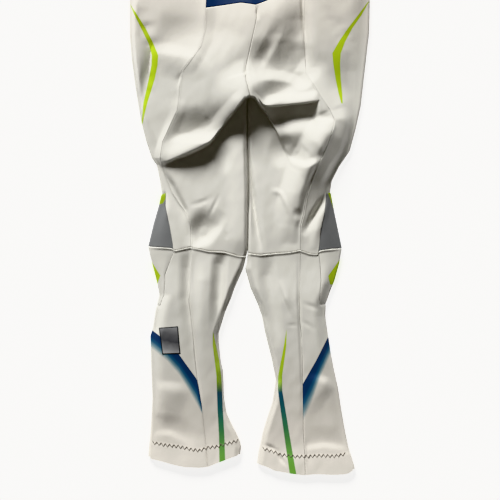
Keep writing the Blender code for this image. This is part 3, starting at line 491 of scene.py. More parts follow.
def bend_ring(x, y, z_top, toward_x, toward_y, reach):
    """Points round an edge bend, rows by turns, from under to over."""
    half = ((z_top - CAD_CLOTH / 2) / 2)[:, None]
    inward = reach[:, None] * (1.0 - np.cos(ARC))[None, :] / UNIT
    z = CAD_CLOTH / 2 + half * (1.0 + np.sin(ARC))[None, :]
    return place(x[:, None] + toward_x * inward, y[:, None] + toward_y * inward, z)


def side_rings(side, low, high, shares, leg):
    """Rings of one side, rows by points: outer bend, upper layer, inner bend, lower layer."""
    shift = -side.sign
    ux, uy = layer_grid(side, low, high, shares, leg, True)
    lx, ly = layer_grid(side, low, high, shares, leg, False)
    top = height(side, ux, uy, leg)
    upper = place(ux, uy, top)
    lower = place(lx, ly, CAD_CLOTH / 2 + tent(lx, ly))
    one = np.array([0.0])
    edge, gap = line_of(side.edge), line_of(side.inner)
    ex, ey = settle(low, high, shares, edge, edge, one)
    reach = np.full(len(shares), BEND)
    outer = bend_ring(ex[:, 0], ey[:, 0], top[:, 0], shift, 0.0, reach)
    outer[:, 0] = lower[:, 0]
    outer[:, -1] = upper[:, 0]
    blocks = [outer, upper[:, 1:]]
    if leg:
        ix, iy = settle(low, high, shares, gap, gap, one)
        reach = np.abs(ix[:, 0] - ux[:, -1]) * UNIT
        inner = bend_ring(ix[:, 0], iy[:, 0], top[:, -1], -shift, 0.0, reach)
        blocks.append(inner[:, 1:-1][:, ::-1])
    blocks.append(lower[:, ::-1])
    return np.concatenate(blocks, axis=1)


class Cloth:
    """Middle surface of all the cloth, as labelled quads."""

    def __init__(self):
        self.grids = []

    def strip(self, points, labels, flip):
        """Quads of a grid of points, with a label for each row and column of quads."""
        self.grids.append((np.asarray(points, dtype=float), labels, flip))

    def weld(self):
        """Shared points, quads and the label number of each quad."""
        rows, quads, labels = [], [], []
        start = 0
        for points, label_rows, flip in self.grids:
            count_r, count_c = points.shape[:2]
            ids = start + np.arange(count_r * count_c).reshape(count_r, count_c)
            cells = np.stack([ids[:-1, :-1], ids[:-1, 1:], ids[1:, 1:], ids[1:, :-1]], axis=-1)
            if flip:
                cells = cells[..., ::-1]
            rows.append(points.reshape(-1, 3))
            quads.append(cells.reshape(-1, 4))
            labels.append(np.broadcast_to(label_rows, cells.shape[:2]).reshape(-1))
            start += count_r * count_c
        points = np.concatenate(rows)
        tree = KDTree(len(points))
        for at, point in enumerate(points):
            tree.insert(point, at)
        tree.balance()
        shared = np.array([min(hit[1] for hit in tree.find_range(point, 2e-5))
                           for point in points])
        quads = shared[np.concatenate(quads)]
        crossed = (quads[:, 0] == quads[:, 2]) | (quads[:, 1] == quads[:, 3])
        same = sum((quads[:, at] == quads[:, at - 1]).astype(int) for at in range(4))
        kept = ~crossed & (same < 2)
        return points, quads[kept], np.concatenate(labels)[kept]


def face_normals(points, quads):
    one = points[quads[:, 2]] - points[quads[:, 0]]
    two = points[quads[:, 3]] - points[quads[:, 1]]
    return np.cross(one, two)


def point_normals(points, quads):
    total = np.zeros_like(points)
    facing = face_normals(points, quads)
    for corner in range(4):
        np.add.at(total, quads[:, corner], facing)
    size = np.linalg.norm(total, axis=1)
    return total / np.maximum(size, 1e-15)[:, None]


LEG_BLOCKS = [12, 50, 128]
BODY_BLOCKS = [48, 84, 36]
CHEST_ROWS = 24
SLEEVE_ROWS = 120
COLLAR_ROWS = 14
SHOULDER_CUTS = [0, 4, 8, 12, 16, 21]
# Plan rows at the outer edge where the knee starts and where the shin's cloth ends
KNEE_TOP = 193.0
SHIN_LOW = 305.0


def leg_rings(side):
    """Rings from the seat lip to the hem, with the numbers of the key rows."""
    lip = line_of(LIP_ROW)
    curves = [lip, lambda x: lip(x) + pick(LIP_WIDTH, x), line_of(side.knee), line_of(side.hem)]
    lengths = [8.0, 85.0, 215.0]
    rings, keys = [], [0]
    for at, count in enumerate(LEG_BLOCKS):
        shares = spread(count, lengths[at]) if at else np.linspace(0.0, 1.0, count + 1)
        block = side_rings(side, curves[at], curves[at + 1], shares, True)
        rings.append(block if at == 0 else block[1:])
        keys.append(keys[-1] + count)
    return np.concatenate(rings), keys


def body_rings(side):
    """Rings from the seat lip up to the underarm."""
    waist = line_of(WAIST_ROW)
    lip = line_of(LIP_ROW)
    edge = line_of(SLOT_ROW)
    close = 1.0 - np.linspace(1.0, 0.0, BODY_BLOCKS[0] + 1) ** 1.6
    open_up = spread(BODY_BLOCKS[1], 130.0) ** 1.2
    low = side_rings(side, lip, edge, close, False)
    middle = side_rings(side, edge, waist, open_up, False)
    top = side_rings(side, waist, lambda x: UNDERARM[1] + 0.0 * x,
                     spread(BODY_BLOCKS[2], 140.0), False)
    return np.concatenate([low, middle[1:], top[1:]])


TURNS = len(ARC) - 1
OVER = TURNS + 1 + EDGE_COLUMNS + SIDE_COLUMNS + BACK_COLUMNS


class Names:
    """Numbers for panel names."""

    def __init__(self):
        self.found = []

    def __call__(self, name):
        if name not in self.found:
            self.found.append(name)
        return self.found.index(name)


def add_legs(cloth, names):
    """Legs of both sides; returns the lip ring of each side."""
    lips = {}
    for side in SIDES:
        rings, keys = leg_rings(side)
        rows_y = plan_y(rings[:, TURNS])
        knee_top = int(np.argmin(np.abs(rows_y - KNEE_TOP)))
        side_low = int(np.argmin(np.abs(rows_y - SHIN_LOW)))
        rows = []
        for at in range(len(rings) - 1):
            name = side.name
            if at < keys[2]:
                back, outer, front = "back_seat_" + name, "side_" + name, "front_" + name
                edge = outer if at < knee_top else "knee_" + name
                under = front if at < knee_top else "knee_" + name
            else:
                back, outer, front = "calf_inner_" + name, "calf_outer_" + name, "shin_" + name
                edge = front if at < side_low else outer
                under = front
            row = [edge] * (TURNS + EDGE_COLUMNS) + [outer] * SIDE_COLUMNS
            row += [back] * (BACK_COLUMNS + TURNS)
            row += [front] * (UNDER_COLUMNS + 2) + [under] * UNDER_COLUMNS
            rows.append([names(n) for n in row])
        cloth.strip(rings, np.array(rows), side.sign < 0.0)
        lips[side.name] = rings[0]
    return lips


def add_body(cloth, names, lips):
    """Body from the lip to the underarm, as two halves that meet on the centre lines."""
    last_rings = {}
    for side in SIDES:
        rings = body_rings(side)
        lip = lips[side.name]
        rings[0] = np.concatenate([lip[:OVER], lip[OVER + TURNS - 1:]])
        x = np.array([pick(side.edge, UNDERARM[1])])
        top_z = np.array([CAD_CLOTH / 2 + 2 * BEND])
        corner = bend_ring(x, np.array([UNDERARM[1]]), top_z, -side.sign * 0.45, -0.9,
                           np.array([BEND]))[0]
        rings[-1] = np.concatenate([corner, rings[-1][TURNS + 1:-1], corner[:1]])
        outer, front = "side_" + side.name, "front_" + side.name
        upper, under = [], []
        for at in range(len(rings) - 1):
            back = "back_seat_" + side.name if at < sum(BODY_BLOCKS[:2]) else "back_upper"
            zipped = "zip_tape" if plan_y(rings[at, OVER]) < ZIP_START else front
            row = [outer] * (TURNS + EDGE_COLUMNS + SIDE_COLUMNS) + [back] * BACK_COLUMNS
            upper.append([names(n) for n in row])
            under.append([names(n) for n in [zipped] * 2 + [front] * (2 * UNDER_COLUMNS)])
        flip = side.sign > 0.0
        cloth.strip(rings[:, :OVER], np.array(upper), flip)
        cloth.strip(rings[:, OVER:], np.array(under), flip)
        last_rings[side.name] = rings[-1]
    return last_rings


def mirrored(side, x):
    return x if side.sign < 0.0 else 2.0 * CROTCH[0] - x


def chest_row(side, share, top, parts):
    """One row of the upper body between the armhole and the centre."""
    bend = BEND / UNIT
    dip = BACK_NECK_DIP if top else FRONT_NECK_DIP
    low, tip, neck = UNDERARM, SHOULDER_TIP, NECK_POINT
    arm_x = low[0] + bend + share * (tip[0] - low[0] - bend)
    arm_x = arm_x + 9.0 * math.sin(math.pi * share) * (1.0 - 0.4 * share)
    princess = pick(LEFT_PRINCESS, low[1])
    princess = princess + share * (neck[0] - princess)
    if top:
        x = np.concatenate([arm_x + parts * (princess - arm_x),
                            princess + spread(BACK_COLUMNS, 50.0)[1:] * (CROTCH[0] - princess)])
    else:
        zip_x = CROTCH[0] - ZIP_HALF / UNIT
        inner = spread(UNDER_COLUMNS, 30.0)[1:]
        x = np.concatenate([arm_x + parts * (princess - arm_x),
                            princess + inner * (zip_x - princess),
                            [(zip_x + CROTCH[0]) / 2, CROTCH[0]]])
    across = np.clip((x - neck[0]) / (CROTCH[0] - neck[0]), 0.0, 1.0)
    top_y = np.where(x <= neck[0], pick(SHOULDER_ROW, x) + bend,
                     neck[1] + bend + dip * np.sin(across * math.pi / 2))
    y = low[1] + share * (top_y - low[1])
    z = CAD_CLOTH / 2 + tent(x, y) + (2 * BEND if top else 0.0)
    return place(mirrored(side, x), y, z)


def add_chest(cloth, names, rings):
    """Upper body and shoulder seams, then the sleeves and the collar on them."""
    shoulder = EDGE_COLUMNS + SIDE_COLUMNS
    cuts = np.array(SHOULDER_CUTS)
    for side in SIDES:
        ring = rings[side.name]
        flip = side.sign > 0.0
        first = ring[TURNS:OVER]
        across = np.abs(first[:shoulder + 1, 0] - first[0, 0])
        parts = across / across[-1]
        shares = np.linspace(0.0, 1.0, CHEST_ROWS + 1)[1:]
        upper = [first] + [chest_row(side, share, True, parts) for share in shares]
        lower = [ring[OVER:][::-1]]
        lower += [chest_row(side, share, False, parts[cuts]) for share in shares]
        upper, lower = np.array(upper), np.array(lower)
        outer, front = "side_" + side.name, "front_" + side.name
        top_row = [outer] * shoulder + ["back_upper"] * BACK_COLUMNS
        low_row = [front] * (2 * UNDER_COLUMNS) + ["zip_tape"] * 2
        cloth.strip(upper, np.array([[names(n) for n in top_row]]), flip)
        low_ids = np.array([[names(n) for n in low_row]])
        cloth.strip(lower[:-1], low_ids, not flip)
        cloth.strip(lower[-2:, UNDER_COLUMNS:], low_ids[:, UNDER_COLUMNS:], not flip)
        over = upper[-1, :shoulder + 1]
        bends = np.array([shoulder_bend(over, turn) for turn in ARC])
        cloth.strip(bends[::-1], np.array([[names(outer)]]), flip)
        for block in range(UNDER_COLUMNS):
            fine = bends[0][cuts[block]:cuts[block + 1] + 1]
            share = np.linspace(0.0, 1.0, len(fine))[:, None]
            base = lower[-2, block] + share * (lower[-2, block + 1] - lower[-2, block])
            cloth.strip(np.array([base, fine]), np.array([[names(front)]]), not flip)
        add_sleeve(cloth, names, side, ring, upper, lower, bends)
        add_collar(cloth, names, side, upper[-1, shoulder:], bends[:, -1],
                   lower[-1, UNDER_COLUMNS:])


def shoulder_bend(over, turn):
    """Row of points round the shoulder seam at one turn of the bend."""
    half = (over[:, 2] - CAD_CLOTH / 2) / 2
    found = over.copy()
    found[:, 1] += BEND * math.cos(turn)
    found[:, 2] = CAD_CLOTH / 2 + half * (1.0 + math.sin(turn))
    return found


# Creases across the sleeve: place along it, lean, rise in millimetres, reach
SLEEVE_CREASES = [
    (0.06, 0.30, -2.6, 0.030), (0.13, -0.22, 2.2, 0.035), (0.21, 0.35, -2.0, 0.030),
    (0.33, -0.15, -1.5, 0.045), (0.455, 0.20, -2.9, 0.020), (0.49, -0.30, 2.6, 0.022),
    (0.53, 0.12, -2.7, 0.020), (0.575, -0.18, 2.0, 0.026), (0.70, 0.22, -1.4, 0.050),
    (0.86, -0.20, -1.6, 0.030), (0.91, 0.25, 1.4, 0.022),
]


def sleeve_lift(side, share, across):
    """Rise of the sleeve's upper layer, in metres, uneven along and across."""
    total = 0.0
    for number, (at, lean, rise, reach) in enumerate(SLEEVE_CREASES):
        lean = lean * (1.0 if side.sign < 0.0 else -0.8)
        centre = at + 0.012 * side.sign * math.sin(2.1 * number)
        away = (share - centre - 0.09 * lean * (across - 0.5)) / reach
        fade = 0.45 + 0.55 * np.sin(math.pi * np.clip(across + 0.3 * lean, 0.0, 1.0))
        total = total + rise * fade * bump_of(away) ** 2
    crown = 3.4 * smooth(share / 0.08) * (1.0 - 0.35 * share)
    return 0.001 * (crown + total) * smooth(across / 0.22) * smooth((1.0 - across) / 0.22)


def flat_tube(side, low, tip, share, parts, bow):
    """Ring of a flat tube between two edge points, with its middle bowed inward."""
    length = math.hypot(tip[0] - low[0], tip[1] - low[1])
    ux, uy = (tip[0] - low[0]) / length, (tip[1] - low[1]) / length
    along = BEND + (length - 2 * BEND) * parts
    x = low[0] + ux * along + bow * np.sin(math.pi * parts)
    y = low[1] + uy * along
    flat = np.full(parts.shape, CAD_CLOTH / 2)
    over = np.stack([x, y, flat + 2 * BEND + sleeve_lift(side, share, parts)], axis=-1)
    under = np.stack([x, y, flat], axis=-1)
    away = BEND * (1.0 - np.cos(ARC[1:-1]))
    z = CAD_CLOTH / 2 + BEND * (1.0 + np.sin(ARC[1:-1]))
    first = np.stack([low[0] + ux * away, low[1] + uy * away, z], axis=-1)
    last = np.stack([tip[0] - ux * away, tip[1] - uy * away, z], axis=-1)
    return np.concatenate([under[:1], first, over, last[::-1], under[::-1]])


def add_sleeve(cloth, names, side, ring, upper, lower, bends):
    """Sleeve from the armhole ring to the cuff."""
    over, under = upper[:, 0], lower[:, 0]
    start = np.concatenate([ring[:TURNS], over, bends[1:-1, 0][::-1], under[::-1]])
    count = len(over)
    parts = np.linspace(0.0, 1.0, count)
    low = place(mirrored(side, UNDERARM[0]), UNDERARM[1], 0.0)
    tip = place(mirrored(side, SHOULDER_TIP[0]), SHOULDER_TIP[1], 0.0)
    shift = np.array([0.0, -SHIFT_Y])
    cuff_tip = np.array([side.sign * CUFF_TIP[0], CUFF_TIP[1]]) + shift
    cuff_low = np.array([side.sign * (CUFF_TIP[0] - CUFF_WIDTH * 0.66),
                         CUFF_TIP[1] - CUFF_WIDTH * 0.75]) + shift
    rings = [start]
    for share in spread(SLEEVE_ROWS, 330.0)[1:]:
        near = low[:2] + share * (cuff_low - low[:2])
        far = tip[:2] + share * (cuff_tip - tip[:2])
        bow = -side.sign * 0.016 * max(0.0, 1.0 - share / 0.25)
        rings.append(flat_tube(side, near, far, share, parts, bow))
    back, front = "sleeve_back_" + side.name, "sleeve_front_" + side.name
    labels = [back] * (TURNS + count - 1 + TURNS) + [front] * (count - 1)
    cloth.strip(np.array(rings), np.array([[names(n) for n in labels]]), side.sign > 0.0)


def add_collar(cloth, names, side, back, bend, front):
    """Half of the collar, standing on from the neck edge."""
    top_y = NECK_POINT[1] - COLLAR_HEIGHT / UNIT
    low = front[::-1]
    rows = [np.concatenate([low, bend[1:-1], back])]
    reach = BEND / UNIT
    zip_x = CROTCH[0] - ZIP_HALF / UNIT
    low_y, back_y = plan_y(low), plan_y(back)
    inner_parts = 1.0 - spread(UNDER_COLUMNS, 30.0)[::-1][1:]
    for share in spread(COLLAR_ROWS, 30.0)[1:]:
        edge = NECK_POINT[0] + 0.6 + 2.4 * share
        inner = edge + reach
        x = np.concatenate([[CROTCH[0], (CROTCH[0] + zip_x) / 2, zip_x],
                            zip_x + inner_parts * (inner - zip_x)])
        y = low_y + share * (top_y - low_y)
        under = place(mirrored(side, x), y, CAD_CLOTH / 2 + tent(x, y))
        y = NECK_POINT[1] + share * (top_y - NECK_POINT[1])
        top_z = CAD_CLOTH / 2 + 2 * BEND
        turn = bend_ring(np.array([mirrored(side, edge)]), np.array([y]), np.array([top_z]),
                         -side.sign, 0.0, np.array([BEND]))[0][1:-1]
        x = inner + spread(BACK_COLUMNS, 50.0) * (CROTCH[0] - inner)
        y = back_y + share * (top_y - back_y)
        over = place(mirrored(side, x), y, top_z + tent(x, y))
        rows.append(np.concatenate([under, turn, over]))
    labels = [names("zip_tape")] * 2 + [names("collar")] * (len(rows[0]) - 3)
    cloth.strip(np.array(rows), np.array([labels]), side.sign > 0.0)


def hem_band(points):
    """Share of the doubled hem band at points, on both legs."""
    x = points[:, 0] / UNIT + CROTCH[0]
    y = plan_y(points)
    band = np.zeros(len(points))
    for side in SIDES:
        on_side = (x - 249.0) * side.sign > 0.0
        past = (y - pick(side.stitch, x)) * 1.85
        band = np.where(on_side & (y > 400.0), smooth((past + 0.6) / 1.6), band)
    return band


def edge_pairs(quads):
    """Pairs of points along the quads' edges, without the edges that have closed up."""
    pairs = np.concatenate([quads[:, [at - 1, at]] for at in range(4)])
    return pairs[pairs[:, 0] != pairs[:, 1]]


def shell(points, normals, quads, ways):
    """Verts and faces of one panel's thin shell, its seam edges drawn in and turned down."""
    pairs = edge_pairs(quads)
    keys = pairs[:, 0] * len(points) + pairs[:, 1]
    back = pairs[:, 1] * len(points) + pairs[:, 0]
    border = pairs[~np.isin(back, keys)]
    seam = np.isin(border[:, 1] * len(points) + border[:, 0], ways)
    used = np.unique(quads)
    order = np.full(len(points), -1)
    order[used] = np.arange(len(used))
    count = len(used)
    spots, facing = points[used], normals[used]
    along = points[border[:, 1]] - points[border[:, 0]]
    inward = unit_rows(np.cross(normals[border[:, 0]] + normals[border[:, 1]], along))
    pull = np.zeros((count, 3))
    for end in range(2):
        np.add.at(pull, order[border[:, end]], inward)
    size = np.linalg.norm(pull, axis=1)
    pull = pull / np.maximum(size, 1e-9)[:, None] * (size > 1e-9)[:, None] * SEAM_GAP
    drop = np.zeros(count)
    drop[order[border[seam].reshape(-1)]] = SEAM_DIP
    half = CLOTH / 2
    outer = spots + pull + facing * (half - drop + HEM_RISE * hem_band(spots))[:, None]
    inner = spots + pull - facing * half
    verts = np.concatenate([outer, inner])
    verts[:, 2] = np.maximum(verts[:, 2], 0.0)
    faces = []
    for quad in order[quads]:
        ids = [int(i) for n, i in enumerate(quad) if i != quad[n - 1]]
        faces.append(ids)
        faces.append([i + count for i in reversed(ids)])
    for i, j in order[border]:
        faces.append([int(j), int(i), int(i) + count, int(j) + count])
    return verts, faces


def cloth_area(points, quads):
    return float(np.linalg.norm(face_normals(points, quads), axis=1).sum() / 2)


def flat_size(points, quads):
    """The panel's widest band of cloth and its reach along its long axis in plan."""
    middles = points[quads].mean(axis=1)
    areas = np.linalg.norm(face_normals(points, quads), axis=1) / 2
    centre = middles.mean(axis=0)
    _, _, axes = np.linalg.svd(middles[:, :2] - centre[:2], full_matrices=False)
    used = np.unique(quads)
    along = (points[used][:, :2] - centre[:2]) @ axes[0]
    length = float(along.max() - along.min())
    bins = 24
    place_at = (middles[:, :2] - centre[:2]) @ axes[0] - along.min()
    number = np.clip((place_at / length * bins).astype(int), 0, bins - 1)
    width = max(float(areas[number == at].sum()) / (length / bins) for at in range(bins))
    return width, length


def new_object(name, verts, faces, materials, smooth_angle=62.0):
    mesh = bpy.data.meshes.new(name)
    mesh.from_pydata([tuple(v) for v in verts], [], faces)
    mesh.validate()
    mesh.shade_smooth()
    if smooth_angle:
        mesh.set_sharp_from_angle(angle=math.radians(smooth_angle))
    for item in materials:
        mesh.materials.append(item)
    made = bpy.data.objects.new(name, mesh)
    bpy.context.scene.collection.objects.link(made)
    return made


class Value:
    """A number or colour socket of a node tree, for sums written as plain expressions."""

    def __init__(self, tree, socket):
        self.tree = tree
        self.socket = socket

    def sum_of(self, operation, *others):
        made = self.tree.nodes.new("ShaderNodeMath")
        made.operation = operation
        for at, value in enumerate((self, *others)):
            if isinstance(value, Value):
                self.tree.links.new(value.socket, made.inputs[at])
            else:
                made.inputs[at].default_value = value
        return Value(self.tree, made.outputs[0])

    def flipped(self, operation, other):
        made = self.tree.nodes.new("ShaderNodeMath")
        made.operation = operation
        made.inputs[0].default_value = other
        self.tree.links.new(self.socket, made.inputs[1])
        return Value(self.tree, made.outputs[0])

    def __add__(self, other):
        return self.sum_of("ADD", other)

    def __sub__(self, other):
        return self.sum_of("SUBTRACT", other)

    def __rsub__(self, other):
        return self.flipped("SUBTRACT", other)

    def __mul__(self, other):
        return self.sum_of("MULTIPLY", other)

    def __truediv__(self, other):
        return self.sum_of("DIVIDE", other)

    def minimum(self, other):
        return self.sum_of("MINIMUM", other)

    def maximum(self, other):
        return self.sum_of("MAXIMUM", other)

    def absolute(self):
        return self.sum_of("ABSOLUTE")

    __radd__ = __add__
    __rmul__ = __mul__


class Finish:
    """Builder of one material's nodes."""

    def __init__(self, name):
        self.material = bpy.data.materials.new(name)
        self.material.use_nodes = True
        self.tree = self.material.node_tree
        self.shader = self.tree.nodes["Principled BSDF"]

    def node(self, kind, settings=None, inputs=None):
        """One node: its settings first, then the values or links of its sockets."""
        made = self.tree.nodes.new(kind)
        for key, value in (settings or {}).items():
            if key == "stops":
                ramp = made.color_ramp
                while len(ramp.elements) < len(value):
                    ramp.elements.new(0.5)
                for element, (at, colour) in zip(ramp.elements, value):
                    element.position = at
                    element.color = (*colour, 1.0)
            elif key == "curve":
                line = made.mapping.curves[0]
                while len(line.points) < len(value):
                    line.points.new(0.5, 0.5)
                for point, spot in zip(line.points, value):
                    point.location = spot
                    point.handle_type = "VECTOR"
                made.mapping.update()
            else:
                setattr(made, key, value)
        for key, value in (inputs or {}).items():
            if isinstance(value, Value):
                self.tree.links.new(value.socket, made.inputs[key])
            else:
                made.inputs[key].default_value = value
        return made

    def value(self, kind, settings=None, inputs=None, output=0):
        return Value(self.tree, self.node(kind, settings, inputs).outputs[output])

    def plan(self):
        """Plan x and y of the surface, from its place in the part."""
        spot = self.value("ShaderNodeTexCoord", output="Object")
        parts = self.node("ShaderNodeSeparateXYZ", inputs={0: spot})
        x = Value(self.tree, parts.outputs[0]) * (1.0 / UNIT) + CROTCH[0]
        y = (Value(self.tree, parts.outputs[1]) + SHIFT_Y) * (-1.0 / UNIT) + CROTCH[1]
        return spot, x, y, Value(self.tree, parts.outputs[2])

    def noise(self, spot, scale, detail=2.0, roughness=0.5):
        return self.value("ShaderNodeTexNoise", {"noise_dimensions": "3D"},
                          {"Vector": spot, "Scale": scale, "Detail": detail,
                           "Roughness": roughness})

    def line(self, table, at):
        """Value of a (place, value) table at a socket, as a drawn curve."""
        places, values = [row[0] for row in table], [row[1] for row in table]
        low, high = min(values), max(values)
        size = max(high - low, 1e-6)
        first, last = places[0], places[-1]
        spots = [((p - first) / (last - first), (v - low) / size)
                 for p, v in zip(places, values)]
        share = (at - first) / (last - first)
        drawn = self.value("ShaderNodeFloatCurve", {"curve": spots}, {"Value": share})
        return drawn * size + low

    def step(self, value, low, high):
        """Smooth step from 0 at low to 1 at high."""
        return self.value("ShaderNodeMapRange",
                          {"interpolation_type": "SMOOTHSTEP", "clamp": True},
                          {"Value": value, "From Min": low, "From Max": high,
                           "To Min": 0.0, "To Max": 1.0})

    def mix(self, share, first, last):
        """Colour from first to last by a share."""
        ends = {}
        for key, colour in ((6, first), (7, last)):
            ends[key] = colour if isinstance(colour, Value) else (*colour, 1.0)
        return self.value("ShaderNodeMix", {"data_type": "RGBA"}, {0: share, **ends}, 2)

    def ramp(self, share, stops):
        return self.value("ShaderNodeValToRGB", {"stops": stops}, {0: share})

    def bump(self, height, depth, strength=1.0, normal=None):
        inputs = {"Height": height, "Distance": depth, "Strength": strength}
        if normal is not None:
            inputs["Normal"] = normal
        return self.value("ShaderNodeBump", None, inputs)

    def set(self, **sockets):
        for key, value in sockets.items():
            name = key.replace("_", " ")
            if isinstance(value, Value):
                self.tree.links.new(value.socket, self.shader.inputs[name])
            elif isinstance(value, tuple) and len(value) == 3:
                self.shader.inputs[name].default_value = (*value, 1.0)
            else:
                self.shader.inputs[name].default_value = value


def linear(red, green, blue):
    """Linear colour of one given as 0 to 255 on screen."""
    def one(value):
        value = value / 255.0
        return value / 12.92 if value <= 0.04045 else ((value + 0.055) / 1.055) ** 2.4
    return (one(red), one(green), one(blue))


def within(finish, value, first, last, soft):
    """Share of a value between two lines, with soft edges."""
    inside = (value - first).minimum(last - value)
    return finish.step(inside, -soft, soft)


HIP_LEFT = ([(4, 130), (14, 134), (29, 141.4), (44, 148.8), (56, 152.2), (66, 151.8), (80, 148.9),
             (103, 143.8), (124, 141.6)],
            [(4, 130), (14, 136.5), (29, 146), (44, 153.6), (56, 158.6), (66, 158), (80, 155),
             (103, 147.8), (124, 142.6)])
HIP_RIGHT = ([(2, 368), (16, 357.6), (29, 347.6), (42, 338.8), (54, 332), (65, 333), (80, 335.4),
              (94, 338.3), (104, 341)],
             [(2, 369), (16, 361), (29, 352), (42, 345), (54, 340.4), (65, 339.8), (80, 340.6),
              (94, 342), (104, 342.4)])
CALF_BAND_LEFT = ([(150, 328.5), (161, 336.4), (179.5, 354.6), (197, 379), (202, 402)],
                  [(150, 347), (167.6, 361), (179.5, 375), (189.4, 391), (202, 413)])
CALF_BAND_RIGHT = ([(301, 385), (303, 383), (315.8, 360.5), (327.4, 338), (333, 326)],
                   [(301, 424), (305.7, 416), (311.7, 402), (319.8, 378), (333, 349)])
# Stripes down the inner calves, as (y, middle, half width)
STRIPE_LEFT = [(330, 213, 0.0), (345, 214.5, 1.6), (360, 217, 2.2), (376, 219, 2.4),
               (407, 220.2, 2.6), (436, 221.8, 2.7), (474, 222.6, 3.0)]
STRIPE_RIGHT = [(328, 286.6, 0.0), (345, 285, 1.1), (360, 282.6, 1.6), (376, 280, 2.0),
                (390, 280, 2.1), (411, 283.2, 2.4), (436, 287, 2.7), (474, 293, 3.2)]


def fabric(finish, spot, print_colour, rough=0.6):
    """Cloth colour, sheen and fine surface over a printed colour.

    The cloth has a painted warm tint of the light at both ends and painted shade darkening
    the calves; it is lighter at the hems.
    """
    _, _, y, _ = finish.plan()
    # Painted warm tint of the light at the top and bottom ends of the suit
    ends = (1.0 - finish.step(y, -10.0, 90.0)).maximum(finish.step(y, 320.0, 440.0))
    cloud = finish.noise(spot, 7.0, 3.0, 0.55)
    soil = finish.noise(spot, 34.0, 4.0, 0.6)
    # Painted shade: the calves are darkened by their place on the legs, where less light falls
    calf = finish.step(y, 225.0, 275.0) * (1.0 - finish.step(y, 395.0, 445.0))
    hem = finish.step(y, 438.0, 452.0)
    tone = 0.9 - calf * 0.13 + hem * 0.1
    tone = tone * (1.0 + (cloud - 0.5) * 0.05 + (soil - 0.5) * 0.035)
    shade = finish.value("ShaderNodeCombineXYZ", None,
                         {0: tone, 1: tone * (1.0 - ends * 0.035), 2: tone * (1.0 - ends * 0.05)})
    colour = finish.value("ShaderNodeMix", {"data_type": "RGBA", "blend_type": "MULTIPLY"},
                          {0: 1.0, 6: print_colour, 7: shade}, 2)
    stretched = finish.value("ShaderNodeMapping", {"vector_type": "POINT"},
                             {"Vector": spot, "Scale": (1.0, 0.45, 1.0)})
    crease = finish.noise(stretched, 46.0, 3.0, 0.5)
    knit = finish.noise(spot, 1500.0, 2.0, 0.6)
    normal = finish.bump(crease, 0.0011, 0.55)
    normal = finish.bump(knit, 0.00016, 0.6, normal)
    finish.set(Base_Color=colour, Roughness=(soil - 0.5) * 0.12 + rough, Normal=normal)
    finish.set(Sheen_Weight=0.12, Sheen_Roughness=0.5, Specular_IOR_Level=0.32)


def side_cloth(colours):
    """White cloth with the tapered stripes of the hips, in painted shade towards the waist."""
    finish = Finish("side_cloth_finish")
    spot, x, y, _ = finish.plan()
    total = None
    for first, last in (HIP_LEFT, HIP_RIGHT):
        share = within(finish, x, finish.line(first, y), finish.line(last, y), 0.35)
        share = share * within(finish, y, first[0][0], first[-1][0], 0.5)
        total = share if total is None else total.maximum(share)
    # Painted shade: the lime darkens towards the waist
    fade = finish.step(y, 20.0, 52.0) * 0.45 + 0.55
    lime = finish.mix(fade, tuple(c * 0.62 for c in colours.lime), tuple(colours.lime))
    fabric(finish, spot, finish.mix(total, tuple(colours.white), lime))
    return finish.material


def calf_cloth(colours, band, name):
    """White cloth with a faded navy band across the outer calf."""
    finish = Finish(name)
    spot, x, y, _ = finish.plan()
    top, low = finish.line(band[0], x), finish.line(band[1], x)
    share = (y - top) / (low - top)
    colour = finish.ramp(share, [(0.0, tuple(colours.navy)), (0.36, linear(6, 50, 98)),
                                 (0.56, linear(34, 88, 124)), (0.78, linear(126, 158, 168)),
                                 (1.0, tuple(colours.white))])
    mask = finish.step(share, -0.02, 0.02)
    mask = mask * finish.step(x, band[0][0][0] - 3.0, band[0][0][0] + 0.5)
    fabric(finish, spot, finish.mix(mask, tuple(colours.white), colour))
    return finish.material


def stripe_cloth(colours, stripe, name):
    """White cloth with a plain stripe down the inner calf, lime turning to green."""
    finish = Finish(name)
    spot, x, y, _ = finish.plan()
    middle = finish.line([(row[0], row[1]) for row in stripe], y)
    half = finish.line([(row[0], row[2]) for row in stripe], y)
    away = (x - middle).absolute()
    mask = 1.0 - finish.step(away - half, -0.3, 0.3)
    mask = mask * finish.step(y, stripe[0][0], stripe[0][0] + 4.0)
    colour = finish.ramp(finish.step(y, 340.0, 474.0),
                         [(0.0, tuple(colours.lime)), (0.22, linear(158, 196, 62)),
                          (0.34, linear(26, 80, 108)), (0.5, linear(40, 98, 104)),
                          (0.72, linear(70, 130, 92)), (1.0, tuple(colours.green))])
    fabric(finish, spot, finish.mix(mask, tuple(colours.white), colour))
    return finish.material


def knee_cloth(colours):
    """Grey cloth of the knees, with lime at its top corners and painted shade on the right knee.
    """
    finish = Finish("knee_cloth_finish")
    spot, x, y, _ = finish.plan()
    # Painted shade: the right knee's grey is darkened by a fifth, on the side away from the light
    side = finish.step(x, 240.0, 260.0)
    grey = finish.mix(side, tuple(colours.grey), tuple(c * 0.8 for c in colours.grey))
    first = [(150, 206.5), (163, 203.5), (172, 188)]
    last = [(324, 184), (327, 191), (335, 213), (338, 221)]
    mask = finish.step(finish.line(first, x) - y, -0.6, 0.6) * (1.0 - side)
    mask = mask.maximum(finish.step(finish.line(last, x) - y, -1.2, 1.2) * side)
    lime = tuple(c * 0.6 for c in colours.lime)
    fabric(finish, spot, finish.mix(mask, grey, lime), 0.55)
    return finish.material


